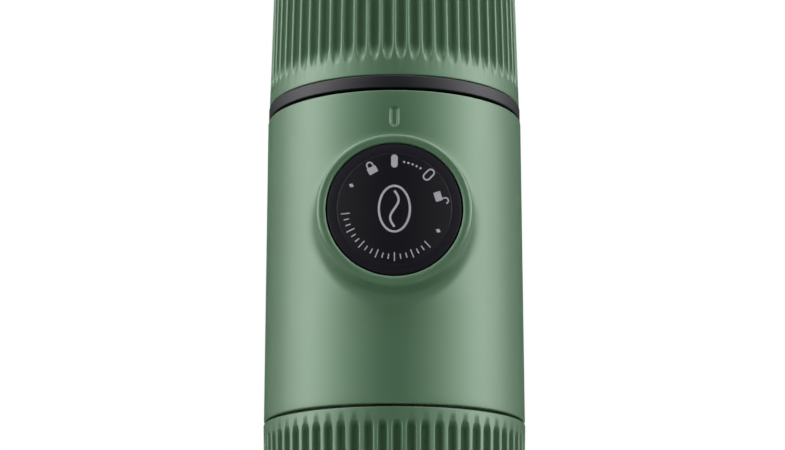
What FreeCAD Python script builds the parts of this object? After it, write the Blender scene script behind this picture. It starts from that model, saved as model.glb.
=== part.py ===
# Handheld manual espresso maker, stored and locked: cup on top, pump knob in front, water tank below.
# Origin at the centre of the tank's base, +Z up the body's axis, front (knob side) towards -Y. Millimetres.
import FreeCAD
import Part
import math
import os

V = FreeCAD.Vector
UP = V(0, 0, 1)
DOWN = V(0, 0, -1)
FRONT = V(0, -1, 0)
BACK = V(0, 1, 0)
os.makedirs("parts", exist_ok=True)

# Visible stack, from the base upward
tank_height = 30.7
seam_gap = 0.6
body_height = 73.55
flange_gap = 0.65
flange_height = 3.0
cup_gap = 0.15
cup_height = 47.35

# Visible radii
tank_base_radius = 30.4
tank_flare = 0.67
body_inset = 0.07
body_taper = 0.14
flange_inset = 0.16
cup_inset = 0.14
cup_taper = 1.06
tank_rim_radius = tank_base_radius + tank_flare
body_low_radius = tank_rim_radius - body_inset
body_top_radius = body_low_radius - body_taper
flange_radius = body_top_radius - flange_inset
cup_rim_radius = flange_radius - cup_inset
cup_end_radius = cup_rim_radius - cup_taper
shell_edge_round = 0.35
closed_end_round = 4.0
flange_edge_round = 0.3

# Flutes round the cup and the tank
rib_count = 60
flute_depth = 0.9
cup_flute_width = 2.2
cup_plain_band = 4.4
cup_flute_fade = 4.0
cup_flute_end_margin = 6.0
tank_flute_width = 1.95
tank_plain_band = 3.2
tank_flute_base_margin = 5.5
tank_flute_turn_deg = 1.1

# Walls
cup_wall = 2.0
shell_wall = 2.2
tank_wall = 2.2
tank_floor = 2.4
tank_floor_round = 2.5
tank_bore_slope = 1.5

# Shared clearances
slip_gap = 0.3
fit_gap = 0.1
running_gap = 0.05
seal_gap = 0.04
overcut = 1.0
match_tolerance = 0.01
thread_root_depth = 0.8

# Screw threads of the tank and of the brew head: round ridges on a neck and in a bore
ridge_radius = 1.05
ridge_crest_gap = 0.35
ridge_step = 4.0
tank_starts = 2
tank_ridge_rise = 4.2
tank_thread_margin = 0.15
brew_starts = 3
brew_ridge_rise = 3.4
brew_thread_margin = 0.6

# Base plate and tank neck
plate_thickness = 3.1
plate_drop = 0.4
neck_inset = 4.6
neck_radius = body_low_radius - neck_inset
neck_wall = 2.2
neck_length = 8.7
tank_seal_height = 1.7
tank_seal_width = 1.9
seal_shoulder_depth = 0.55
base_screw_inset = 5.9
base_screw_circle = neck_radius - base_screw_inset
base_boss_radius = 3.0
base_boss_height = 10.0
boss_rib_thickness = 2.0

# Pump knob and collar
knob_below_top = 30.65
knob_radius = 15.25
knob_gap = 0.3
knob_wall = 2.05
knob_face_back = 0.2
knob_bevel = 0.5
knob_bevel_width = 2.2
knob_web = 2.5
knob_pocket_depth = 3.2
knob_face_thickness = 1.5
face_edge_round = 0.15
face_ledge_width = 1.85
collar_proud = 8.9
collar_reach = body_low_radius + collar_proud
collar_root = 15.0
guide_wall_overlap = 0.8
collar_wall = 2.15
collar_flare = 0.45
collar_blend = 3.0
collar_edge_round = 0.45
guide_end = 11.5
lug_height = 1.35
lug_length = 2.5
rail_deg = 14.0
knob_turn_deg = 45.0
turn_slack_deg = 1.0
sector_side_deg = 60.0
lug_root = 0.5
skirt_clearance = 2.0

# Pump
cylinder_bore = 5.5
cylinder_wall = 2.5
cylinder_front = 15.5
cylinder_back_from_valves = 3.8
cylinder_flange_radius = 15.5
cylinder_flange_front = 10.0
cylinder_flange_thickness = 2.5
bush_length = 3.0
rod_radius = 2.5
rod_stud_radius = 1.5
rod_stud_length = 4.0
head_length = 5.5
head_end_gap = 0.7
seal_groove_depth = 1.4
seal_groove_width = 2.0
seal_groove_margin = 1.4
seal_round = 0.4
knob_screw_head_radius = 4.0
knob_screw_head_height = 1.2
knob_screw_depth = 6.0
screw_slot_depth = 0.6
screw_slot_width = 0.9
washer_thickness = 1.0
washer_margin = 1.0
spring_mean_radius = 9.4
spring_wire_radius = 0.6
spring_turns = 8.0
pump_wall_thickness = 3.0
pump_wall_half_width = 17.0
pump_wall_foot = 4.0
pump_screw_circle = 12.6

# Valves
valve_line_inset = 9.4
valve_line = neck_radius - valve_line_inset
cylinder_back = valve_line - cylinder_back_from_valves
valve_bore = 3.6
valve_column_radius = 5.7
valve_seat_height = 2.0
valve_seat_hole = 1.3
ball_radius = 2.0
valve_top_gap = 1.0
valve_low_gap = 0.7
port_radius = 1.2
valve_chamber_length = 6.5
valve_spring_wire = 0.2
valve_spring_radius = 1.6
valve_spring_turns = 3.5
block_barrel_radius = 10.4
block_cap = 1.6
block_ear_reach = 15.0
block_ear_thickness = 3.5
block_ear_half_height = 3.2
block_screw_reach = 12.2
block_socket_depth = 4.5
tube_socket_depth = 3.0
tube_wall = 1.1
outlet_seal_inner = 4.15
outlet_seal_outer = 5.15
outlet_seal_height = 0.9
cylinder_seal_height = 0.8

# Brew chamber
chamber_floor = 3.0
socket_gap_over_guide = 0.3
socket_top_drop = 0.25
socket_wall_gap = 0.2
skirt_inset = 4.8
skirt_radius = body_low_radius - shell_wall - skirt_inset
skirt_wall = 4.1
skirt_end_radius = skirt_radius - skirt_wall
gasket_width = 4.8
gasket_inner_radius = skirt_radius - gasket_width
gasket_height = 2.0
screen_inset = 1.7
screen_radius = skirt_end_radius - screen_inset
screen_margin = 1.5
screen_thickness = 0.5
screen_lift = 0.7
screen_lip = 0.5
screen_hole_radius = 0.5
screen_boss_radius = 3.4
screen_rings = 3
outlet_port_radius = 1.5

# Filter basket
basket_gap = 0.9
basket_inner_radius = skirt_end_radius - basket_gap
basket_hole_margin = 2.5
basket_edge_round = 0.4
basket_wall = 0.5
basket_height = 16.3
basket_rim_inset = 0.4
basket_rim_radius = skirt_radius - basket_rim_inset
basket_rim_thickness = 0.8
basket_hole_radius = 0.55
basket_rings = 4

# Brew head above its flange
spigot_height = 2.7
spigot_gap = 0.5
dome_inset = 7.96
dome_radius = cup_rim_radius - dome_inset
dome_round = 2.5
dome_plate = 2.5
head_room = 0.4
grip_ring_radius = 0.75
nozzle_stem_radius = 3.0
nozzle_collar_radius = 6.0
nozzle_collar_height = 1.6
nozzle_root_radius = 4.2
nozzle_tip_radius = 3.3
nozzle_length = 8.0
nozzle_bore = 1.2
nozzle_mouth_radius = 1.92
nozzle_mouth_depth = 2.0
nozzle_edge_round = 0.5

# Scoop
scoop_inset = 4.6
scoop_rim_radius = dome_radius - scoop_inset
scoop_taper = 0.8
scoop_end_radius = scoop_rim_radius - scoop_taper
scoop_wall = 1.2
scoop_height = 22.0
scoop_round = 2.5
scoop_tab_inset = 3.36
scoop_tab_reach = cup_rim_radius - scoop_tab_inset
scoop_tab_overlap = 0.6
scoop_tab_width = 12.0
scoop_tab_thickness = 1.8

# Fasteners, radius of shank and head
small_shank = 1.0
small_head = 1.7
small_head_height = 1.3
base_shank = 1.2
base_head = 2.3
base_head_height = 1.5
screw_hole_gap = 0.07
key_share = 0.5
key_depth_share = 0.4
socket_screw_length = 9.0
pump_screw_length = 4.6
base_screw_length = 9.0
shower_shank = 1.5
shower_head = 2.8
shower_head_height = 1.1
socket_tab_thickness = 4.0
socket_tab_radius = 3.2

# Air valve and strainer in the base plate
air_valve_offset = 12.0
air_cap_radius = 4.0
air_cap_height = 0.9
air_stem_radius = 1.15
air_bulb_radius = 1.6
air_bulb_height = 2.2
air_cap_slope = 1.2
air_vent_radius = 0.7
air_vent_circle = 2.4
strainer_radius = 4.7
strainer_wall = 0.6
strainer_height = 2.2
strainer_hole_radius = 0.45
strainer_rings = 2

# Engraved mark on the body and printed marks on the knob's face
slot_mark_width = 2.4
slot_mark_height = 4.9
slot_mark_below_top = 6.35
slot_mark_depth = 0.45
print_thickness = 0.06
mark_circle = 11.1
lock_mark_width = 1.5
lock_mark_height = 3.1
open_mark_width = 1.9
open_mark_height = 3.0
open_mark_line = 0.35
open_mark_deg = 44.5
dot_radius = 0.26
dot_count = 5
dot_first_deg = 11.4
dot_step_deg = 5.2

# Levels on the main axis
body_bottom = tank_height + seam_gap
body_top = body_bottom + body_height
flange_bottom = body_top + flange_gap
flange_top = flange_bottom + flange_height
cup_bottom = flange_top + cup_gap
cup_top = cup_bottom + cup_height
knob_axis = body_top - knob_below_top
plate_bottom = body_bottom - plate_drop
plate_top = plate_bottom + plate_thickness
shell_inner_radius = body_low_radius - shell_wall

# Levels and radii of the pump
collar_inner_radius = knob_radius + knob_gap
collar_outer_radius = collar_inner_radius + collar_wall
knob_front = -(collar_reach - knob_face_back)
knob_inner_radius = knob_radius - knob_wall
web_front = knob_front + knob_pocket_depth
web_back = web_front + knob_web
skirt_end = -(cylinder_flange_front + skirt_clearance)
knob_skirt_length = skirt_end - knob_front
cylinder_outer_radius = cylinder_bore + cylinder_wall
block_end_wall = cylinder_back + cylinder_seal_height
head_tip = cylinder_back + cylinder_seal_height - head_end_gap
head_root = head_tip - head_length
flange_back = -cylinder_flange_front + cylinder_flange_thickness
pump_wall_back = flange_back + pump_wall_thickness
block_front = block_end_wall - block_socket_depth
pump_stroke = head_root + cylinder_front - bush_length - slip_gap

# Levels of the brew chamber
floor_bottom = knob_axis + collar_outer_radius + socket_gap_over_guide
floor_top = floor_bottom + chamber_floor
basket_bottom = floor_top + gasket_height
skirt_bottom = basket_bottom + basket_rim_thickness
basket_top = basket_bottom + basket_height
dome_underside = basket_top + head_room
dome_top = dome_underside + dome_plate
socket_bore = skirt_radius + ridge_radius + ridge_crest_gap
tank_bore = neck_radius + ridge_radius + ridge_crest_gap
socket_outer_radius = shell_inner_radius - socket_wall_gap
tank_lead = ridge_step * tank_starts
brew_lead = ridge_step * brew_starts
seal_bottom = plate_bottom - tank_seal_height
valve_top_bottom = knob_axis + cylinder_outer_radius + valve_top_gap
valve_low_top = knob_axis - cylinder_outer_radius - valve_low_gap
valve_low_bottom = valve_low_top - valve_chamber_length - valve_seat_height
column_bottom = valve_low_bottom - tube_socket_depth
scoop_bottom = dome_top + fit_gap
socket_tab_circle = (socket_bore + socket_outer_radius) / 2


def polar(radius, degrees, z=0.0):
    """Point at a distance and bearing from the main axis."""
    angle = math.radians(degrees)
    return V(radius * math.cos(angle), radius * math.sin(angle), z)


def corner(before, point, after, rounding):
    """Tangent points and middle of the arc that rounds one outline corner."""
    back = (before - point).normalize()
    ahead = (after - point).normalize()
    half = math.acos(max(-1.0, min(1.0, back.dot(ahead)))) / 2
    reach = rounding / math.tan(half)
    middle = (back + ahead).normalize() * (rounding / math.sin(half) - rounding)
    return point + back * reach, point + middle, point + ahead * reach


def turned(outline):
    """Solid of revolution about the main axis from (radius, z) or (radius, z, rounding) points."""
    points = [V(p[0], 0, p[1]) for p in outline]
    edges = []
    starts = []
    ends = []
    for i, item in enumerate(outline):
        if len(item) == 3:
            first, middle, last = corner(points[i - 1], points[i], points[(i + 1) % len(points)], item[2])
            edges.append(Part.Arc(first, middle, last).toShape())
            starts.append(first)
            ends.append(last)
        else:
            edges.append(None)
            starts.append(points[i])
            ends.append(points[i])
    loop = []
    for i, arc in enumerate(edges):
        if arc is not None:
            loop.append(arc)
        loop.append(Part.LineSegment(ends[i], starts[(i + 1) % len(points)]).toShape())
    return Part.Face(Part.Wire(loop)).revolve(V(0, 0, 0), UP, 360)


def tube(inner, outer, low, high, x=0.0, y=0.0):
    """Upright ring between two levels."""
    ring = Part.makeCylinder(outer, high - low, V(x, y, low))
    return ring.cut(Part.makeCylinder(inner, high - low, V(x, y, low)))


def rod_y(radius, front, back, x=0.0, z=knob_axis):
    """Cylinder along Y between two depths."""
    return Part.makeCylinder(radius, back - front, V(x, front, z), BACK)


def tube_y(inner, outer, front, back, x=0.0, z=knob_axis):
    """Ring along Y between two depths."""
    return rod_y(outer, front, back, x, z).cut(rod_y(inner, front, back, x, z))


def fused(first, *others):
    """Union of overlapping solids, with shared flat faces merged."""
    return first.fuse(list(others)).removeSplitter()


def screw(seat, direction, shank, head, head_height, length):
    """Socket-head screw: the head stands behind the seat point, the shank runs along the direction."""
    back = direction * -1
    body = Part.makeCylinder(shank, length, seat, direction)
    top = Part.makeCylinder(head, head_height, seat, back)
    reach = head * key_share
    key = Part.makePolygon([V(reach * math.cos(math.pi * k / 3), reach * math.sin(math.pi * k / 3), 0)
                            for k in range(7)])
    recess = Part.Face(key).extrude(UP * head_height)
    key_floor = seat + back * (head_height * key_depth_share)
    recess.Placement = FreeCAD.Placement(key_floor, FreeCAD.Rotation(UP, back))
    return body.fuse(top).cut(recess)


def arc_edge(start, tangent, end):
    """Arc from a start point and tangent to an end point."""
    chord = end - start
    along = V(chord).normalize()
    side = (tangent - along * tangent.dot(along)).normalize()
    turn = math.acos(max(-1.0, min(1.0, tangent.dot(along))))
    middle = (start + end) * 0.5 + side * (chord.Length / 2 * math.tan(turn / 2))
    return Part.Arc(start, middle, end).toShape()


def biarc(start, start_tangent, end, end_tangent):
    """Two tangent arcs that join two points with given tangents."""
    chord = end - start
    tangents = start_tangent + end_tangent
    stretch = 2 * (1 - start_tangent.dot(end_tangent))
    along = chord.dot(tangents)
    reach = (-along + math.sqrt(along ** 2 + stretch * chord.dot(chord))) / stretch
    near = start + start_tangent * reach
    far = end - end_tangent * reach
    joint = (near + far) * 0.5
    return [arc_edge(start, start_tangent, joint), arc_edge(joint, (far - near).normalize(), end)]


def helix_point(radius, lead, angle, z, start):
    """Point and tangent of a right-handed helix after a turn angle."""
    a = start + angle
    point = V(radius * math.cos(a), radius * math.sin(a), z + lead * angle / (2 * math.pi))
    tangent = V(-radius * math.sin(a), radius * math.cos(a), lead / (2 * math.pi)).normalize()
    return point, tangent


def helix_tube(radius, lead, turns, wire, z=0.0, start_deg=0.0):
    """One unbroken round wire along a helix, as biarcs of a quarter turn, with its two end points."""
    steps = max(1, round(turns * 4))
    start = math.radians(start_deg)
    edges = []
    for i in range(steps):
        low = helix_point(radius, lead, 2 * math.pi * turns * i / steps, z, start)
        high = helix_point(radius, lead, 2 * math.pi * turns * (i + 1) / steps, z, start)
        edges += biarc(low[0], low[1], high[0], high[1])
    first = helix_point(radius, lead, 0.0, z, start)
    last = helix_point(radius, lead, 2 * math.pi * turns, z, start)
    section = Part.Wire([Part.Circle(first[0], first[1], wire).toShape()])
    return Part.Wire(edges).makePipeShell([section], True, False), first[0], last[0]


def ridges(radius, lead, starts, rise, z):
    """Round-ended thread ridges whose centre line lies on the given radius."""
    found = []
    for k in range(starts):
        wire, first, last = helix_tube(radius, lead, rise / lead, ridge_radius, z, 360.0 * k / starts)
        found.append(wire.fuse([Part.makeSphere(ridge_radius, first), Part.makeSphere(ridge_radius, last)]))
    return found


def flutes(low, high, width, turn_deg, low_fade, high_fade):
    """Cutters for the flutes of a drafted wall between two (radius, z) points on it."""
    cutter = (width * width / 4 + flute_depth * flute_depth) / (2 * flute_depth)
    offset = cutter - flute_depth
    start = V(low[0] + offset, 0, low[1])
    end = V(high[0] + offset, 0, high[1])
    along = (end - start).normalize()
    bar = Part.makeCylinder(cutter, (end - start).Length, start, along)
    pieces = [Part.makeSphere(cutter, start), Part.makeSphere(cutter, end)]
    for point, direction, fade in ((start, along * -1, low_fade), (end, along, high_fade)):
        if fade > 0:
            out = (direction * fade + V(flute_depth, 0, 0)).normalize()
            pieces.append(Part.makeCylinder(cutter, fade + overcut, point, out))
    bar = bar.fuse(pieces)
    found = []
    for k in range(rib_count):
        copy = bar.copy()
        copy.rotate(V(0, 0, 0), UP, turn_deg + 360.0 * k / rib_count)
        found.append(copy)
    return Part.makeCompound(found)


def holes(rings, reach, radius, low, high, x=0.0, y=0.0, skip_middle=False):
    """Rings of small upright holes round a centre, six more in each ring."""
    found = []
    if not skip_middle:
        found.append(Part.makeCylinder(radius, high - low, V(x, y, low)))
    for ring in range(1, rings + 1):
        for k in range(6 * ring):
            place = polar(reach * ring / rings, 60.0 * k / ring)
            found.append(Part.makeCylinder(radius, high - low, V(x + place.x, y + place.y, low)))
    return Part.makeCompound(found)


def slot_y(width, height, front, back, x, z, turn_deg=0.0):
    """Round-ended slot prism along Y, turned clockwise as seen from the front."""
    straight = height - width
    middle = Part.makeBox(width, back - front, straight, V(x - width / 2, front, z - straight / 2))
    ends = [rod_y(width / 2, front, back, x, z + side * straight / 2) for side in (-1, 1)]
    shape = fused(middle, *ends)
    shape.rotate(V(x, front, z), BACK, turn_deg)
    return shape


def cup_radius(z):
    """Outer radius of the drafted cup wall at a level."""
    return cup_rim_radius + (cup_end_radius - cup_rim_radius) * (z - cup_bottom) / cup_height


def tank_radius(z):
    """Outer radius of the drafted tank wall at a level."""
    return tank_base_radius + (tank_rim_radius - tank_base_radius) * z / tank_height


def cup():
    """Ribbed drinking cup, stored mouth down."""
    inner_top = cup_top - cup_wall
    body = turned([
        (0, inner_top), (cup_radius(inner_top) - cup_wall, inner_top, closed_end_round - cup_wall),
        (cup_rim_radius - cup_wall, cup_bottom), (cup_rim_radius, cup_bottom, shell_edge_round),
        (cup_end_radius, cup_top, closed_end_round), (0, cup_top)])
    low = cup_bottom + cup_plain_band + cup_flute_fade
    high = cup_top - cup_flute_end_margin
    front_crest = -90.0 + 180.0 / rib_count
    return body.cut(flutes((cup_radius(low), low), (cup_radius(high), high), cup_flute_width,
                           front_crest, cup_flute_fade, 0.0))


def water_tank():
    """Ribbed water tank with an internal thread and a shoulder for its seal."""
    step_radius = tank_bore + seal_shoulder_depth
    thread_low = plate_bottom - neck_length - ridge_radius
    inner_low = tank_base_radius - tank_wall
    body = turned([
        (0, 0), (tank_base_radius, 0, closed_end_round), (tank_rim_radius, tank_height, shell_edge_round),
        (step_radius, tank_height), (step_radius, seal_bottom), (tank_bore, seal_bottom),
        (tank_bore, thread_low), (inner_low, thread_low - tank_bore_slope),
        (inner_low, tank_floor, tank_floor_round), (0, tank_floor)])
    first = plate_bottom - neck_length + ridge_radius + tank_thread_margin - ridge_step / 2
    limit = Part.makeCylinder(tank_bore + thread_root_depth, tank_height)
    threads = ridges(tank_bore, tank_lead, tank_starts, tank_ridge_rise, first)
    body = body.fuse([r.common(limit) for r in threads])
    low = tank_flute_base_margin
    high = tank_height - tank_plain_band
    turn = -90.0 + tank_flute_turn_deg
    ends = [(tank_radius(z), z) for z in (low, high)]
    return body.cut(flutes(ends[0], ends[1], tank_flute_width, turn, 0.0, 0.0))


def tank_seal():
    """Soft ring between the tank's shoulder and the base plate."""
    outer = tank_bore + seal_shoulder_depth - running_gap
    return tube(outer - tank_seal_width, outer, seal_bottom, plate_bottom)


def base_plate():
    """Lower frame of the body: the plate over the tank and its threaded neck."""
    plate = Part.makeCylinder(shell_inner_radius - fit_gap, plate_thickness, V(0, 0, plate_bottom))
    neck_low = plate_bottom - neck_length
    neck = tube(neck_radius - neck_wall, neck_radius, neck_low, plate_bottom + overcut)
    first = neck_low + ridge_radius + tank_thread_margin
    body = plate.fuse([neck] + ridges(neck_radius, tank_lead, tank_starts, tank_ridge_rise, first))
    body = body.cut(Part.makeCylinder(neck_radius - neck_wall, neck_length, V(0, 0, neck_low)))
    depth = plate_thickness
    cuts = [Part.makeCylinder(valve_bore, depth, V(0, valve_line, plate_bottom))]
    stem_foot = V(0, -air_valve_offset, plate_bottom)
    cuts.append(Part.makeCylinder(air_stem_radius + screw_hole_gap, depth, stem_foot))
    for k in range(3):
        place = polar(air_vent_circle, 30.0 + 120.0 * k) + V(0, -air_valve_offset, plate_bottom)
        cuts.append(Part.makeCylinder(air_vent_radius, depth, place))
    for place in base_screw_places(plate_bottom):
        cuts.append(Part.makeCylinder(base_shank + screw_hole_gap, depth, place))
    return body.cut(cuts)


def base_screw_places(z):
    """Four points round the axis, clear of the pump."""
    return [polar(base_screw_circle, 45.0 + 90.0 * k, z) for k in range(4)]


def base_screws():
    """Screws that hold the base plate to the shell's bosses."""
    return Part.makeCompound([screw(p, UP, base_shank, base_head, base_head_height, base_screw_length)
                              for p in base_screw_places(plate_bottom)])


def air_valve():
    """Soft mushroom valve that lets air into the tank as it empties."""
    cap_low = plate_bottom - air_cap_height
    bulb_top = plate_top + air_bulb_height
    cap = turned([(0, cap_low), (air_cap_radius - air_cap_slope, cap_low), (air_cap_radius, plate_bottom),
                  (0, plate_bottom)])
    stem = Part.makeCylinder(air_stem_radius, plate_thickness + 2 * fit_gap, V(0, 0, plate_bottom - fit_gap))
    bulb = turned([(0, plate_top), (air_bulb_radius, plate_top), (air_stem_radius, bulb_top), (0, bulb_top)])
    shape = fused(cap, stem, bulb)
    shape.translate(V(0, -air_valve_offset, 0))
    return shape


def inlet_strainer():
    """Perforated cap over the water inlet, inside the tank's neck."""
    low = plate_bottom - strainer_height
    wall = tube(strainer_radius - strainer_wall, strainer_radius, low, plate_bottom, 0.0, valve_line)
    floor = Part.makeCylinder(strainer_radius, strainer_wall, V(0, valve_line, low))
    reach = strainer_radius - 2 * strainer_wall - strainer_hole_radius
    pattern = holes(strainer_rings, reach, strainer_hole_radius, low, low + strainer_wall, 0.0, valve_line)
    return fused(wall, floor).cut(pattern)


def inlet_tube():
    """Rigid tube from the base plate up to the inlet valve."""
    outer = valve_bore - running_gap
    return tube(outer - tube_wall, outer, plate_bottom, valve_low_bottom, 0.0, valve_line)


def lug_recess():
    """Space for the knob's lugs: they slide along it, and its two rails stop the turn."""
    lug_top = knob_radius + lug_height
    deepest = skirt_end - lug_length - pump_stroke - slip_gap
    ring = tube_y(knob_radius, lug_top + slip_gap, deepest, -guide_end)
    rails = []
    for side in (0.0, 180.0):
        rails.append(sector_y(rail_deg, side, collar_outer_radius, deepest, -guide_end))
    return ring.cut(rails)


def sector_y(width_deg, middle_deg, radius, front, back):
    """Wedge round the knob's axis; 0 degrees points to +X and angles grow towards +Z."""
    low = math.radians(middle_deg - width_deg / 2)
    high = math.radians(middle_deg + width_deg / 2)
    steps = max(1, math.ceil(width_deg / sector_side_deg))
    far = radius / math.cos((high - low) / (2 * steps)) + overcut
    points = [V(0, front, knob_axis)]
    for k in range(steps + 1):
        a = low + (high - low) * k / steps
        points.append(V(far * math.cos(a), front, knob_axis + far * math.sin(a)))
    points.append(points[0])
    return Part.Face(Part.makePolygon(points)).extrude(BACK * (back - front))


def body_shell():
    """Smooth green shell with the moulded knob collar, screw bosses and the engraved slot mark."""
    outside = turned([(0, body_bottom), (body_low_radius, body_bottom, shell_edge_round),
                      (body_top_radius, body_top, shell_edge_round), (0, body_top)])
    collar = Part.makeCone(collar_outer_radius, collar_outer_radius + collar_flare,
                           collar_reach - collar_root, V(0, -collar_reach, knob_axis), BACK)
    solid = outside.fuse(collar)
    root_edges = [e for e in solid.Edges if is_collar_root(e)]
    solid = solid.makeFillet(collar_blend, root_edges)
    front_edge = [e for e in solid.Edges if abs(e.BoundBox.YMax + collar_reach) < match_tolerance]
    solid = solid.makeFillet(collar_edge_round, front_edge)
    hollow = Part.makeCylinder(shell_inner_radius, body_height + 2 * overcut, V(0, 0, body_bottom - overcut))
    solid = solid.cut(hollow)
    inward = rod_y(collar_outer_radius, -shell_inner_radius - guide_wall_overlap, -guide_end)
    pieces = [inward.common(hollow.fuse(solid))]
    pieces += shell_bosses()
    solid = solid.fuse(pieces)
    bore = rod_y(collar_inner_radius, -collar_reach - overcut, -guide_end + overcut)
    solid = solid.cut([bore, lug_recess()])
    drills = [Part.makeCylinder(base_shank + screw_hole_gap, base_screw_length, p)
              for p in base_screw_places(plate_bottom)]
    drills += [Part.makeCylinder(small_shank + screw_hole_gap, socket_tab_thickness, p)
               for p in socket_screw_places(floor_bottom - socket_tab_thickness)]
    mark = slot_y(slot_mark_width, slot_mark_height, -body_low_radius - overcut,
                  -body_top_radius + slot_mark_depth, 0.0, body_top - slot_mark_below_top)
    return solid.cut(drills + [mark])


def is_collar_root(edge):
    """True on the edge where the collar meets the round body."""
    for point in edge.discretize(9):
        off_axis = math.hypot(point.x, point.z - knob_axis)
        out = math.hypot(point.x, point.y)
        if abs(out - body_low_radius) > 2 * body_taper:
            return False
        if not 0 <= off_axis - collar_outer_radius <= 2 * collar_flare:
            return False
    return edge.Length > collar_outer_radius


def shell_bosses():
    """Bosses and ribs inside the shell for the base plate's and the inner frame's screws."""
    found = []
    reach = shell_inner_radius + guide_wall_overlap
    inside = Part.makeCylinder(reach, body_height, V(0, 0, body_bottom))
    for k, place in enumerate(base_screw_places(plate_top)):
        boss = Part.makeCylinder(base_boss_radius, base_boss_height, place)
        rib = Part.makeBox(reach - base_screw_circle, boss_rib_thickness, base_boss_height,
                           V(base_screw_circle, -boss_rib_thickness / 2, plate_top))
        rib.rotate(V(0, 0, 0), UP, 45.0 + 90.0 * k)
        found.append(boss.fuse(rib).common(inside))
    for place in socket_screw_places(floor_bottom - socket_tab_thickness):
        found.append(Part.makeCylinder(socket_tab_radius, socket_tab_thickness, place).common(inside))
    return found


def socket_screw_places(z):
    """Four points under the inner frame's wall, clear of the knob's guide."""
    return [polar(socket_tab_circle, 60.0 * k, z) for k in range(4)]


def socket_screws():
    """Screws that hold the inner frame to the shell."""
    seat = floor_bottom - socket_tab_thickness
    return Part.makeCompound([screw(p, UP, small_shank, small_head, small_head_height, socket_screw_length)
                              for p in socket_screw_places(seat)])


def pump_screw_places(depth):
    """Four points round the pump's axis on its flange."""
    found = []
    for k in range(4):
        a = math.radians(45.0 + 90.0 * k)
        found.append(V(pump_screw_circle * math.cos(a), depth, knob_axis + pump_screw_circle * math.sin(a)))
    return found


def block_screw_places(depth):
    """Two points beside the pump's axis on the valve block's ears."""
    return [V(side * block_screw_reach, depth, knob_axis) for side in (-1, 1)]


def brew_socket():
    """Inner frame: threaded socket of the brew head, chamber floor and the wall that carries the pump."""
    wall_top = body_top - socket_top_drop
    ring = turned([(0, floor_bottom), (socket_outer_radius, floor_bottom), (socket_outer_radius, wall_top),
                   (socket_bore, wall_top), (socket_bore, floor_top), (0, floor_top)])
    first = skirt_bottom + ridge_radius + brew_thread_margin + ridge_step / 2
    limit = tube(skirt_radius - ridge_radius - overcut, socket_bore + thread_root_depth, floor_top, wall_top)
    threads = ridges(socket_bore, brew_lead, brew_starts, brew_ridge_rise, first)
    ring = ring.fuse([r.common(limit) for r in threads])
    boss = Part.makeCylinder(screen_boss_radius, chamber_floor + screen_lift, V(0, 0, floor_bottom))
    foot = knob_axis - pump_screw_circle - pump_wall_foot
    plate = Part.makeBox(2 * pump_wall_half_width, pump_wall_thickness, floor_bottom + overcut - foot,
                         V(-pump_wall_half_width, flange_back, foot))
    body = ring.fuse([boss, plate])
    seat = floor_bottom - socket_tab_thickness
    hole = small_shank + screw_hole_gap
    cuts = [Part.makeCylinder(hole, socket_screw_length, p) for p in socket_screw_places(seat)]
    cuts.append(rod_y(cylinder_outer_radius + running_gap, flange_back, pump_wall_back))
    cuts += [rod_y(small_shank + screw_hole_gap, flange_back, pump_wall_back, p.x, p.z)
             for p in pump_screw_places(0)]
    cuts += [rod_y(small_shank + screw_hole_gap, flange_back, pump_wall_back, p.x, p.z)
             for p in block_screw_places(0)]
    cuts.append(Part.makeCylinder(outlet_port_radius, chamber_floor, V(0, valve_line, floor_bottom)))
    cuts.append(Part.makeCylinder(shower_shank + screw_hole_gap, chamber_floor + screen_lift,
                                  V(0, 0, floor_bottom)))
    return body.cut(cuts)


def brew_gasket():
    """Soft ring under the basket's rim."""
    return tube(gasket_inner_radius, socket_bore - fit_gap, floor_top, basket_bottom)


def shower_screen():
    """Perforated disc that spreads the water over the coffee."""
    low = floor_top + screen_lift
    disc = Part.makeCylinder(screen_radius, screen_thickness, V(0, 0, low))
    lip = tube(screen_radius - screen_lip, screen_radius, floor_top, low)
    pattern = holes(screen_rings, screen_radius - 2 * screen_lip - screen_margin, screen_hole_radius, low,
                    low + screen_thickness, skip_middle=True)
    middle = Part.makeCylinder(shower_shank + screw_hole_gap, screen_thickness, V(0, 0, low))
    return fused(disc, lip).cut([pattern, middle])


def shower_screw():
    """Screw that holds the shower screen."""
    seat = V(0, 0, floor_top + screen_lift + screen_thickness)
    return screw(seat, DOWN, shower_shank, shower_head, shower_head_height, chamber_floor + screen_lift)


def filter_basket():
    """Metal filter basket, stored mouth down, with a perforated floor."""
    outer = basket_inner_radius + basket_wall
    floor = basket_top - basket_wall
    body = turned([(0, floor), (basket_inner_radius, floor), (basket_inner_radius, basket_bottom),
                   (basket_rim_radius, basket_bottom), (basket_rim_radius, skirt_bottom),
                   (outer, skirt_bottom), (outer, basket_top, basket_edge_round), (0, basket_top)])
    reach = basket_inner_radius - basket_hole_margin
    return body.cut(holes(basket_rings, reach, basket_hole_radius, floor, basket_top))


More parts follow.
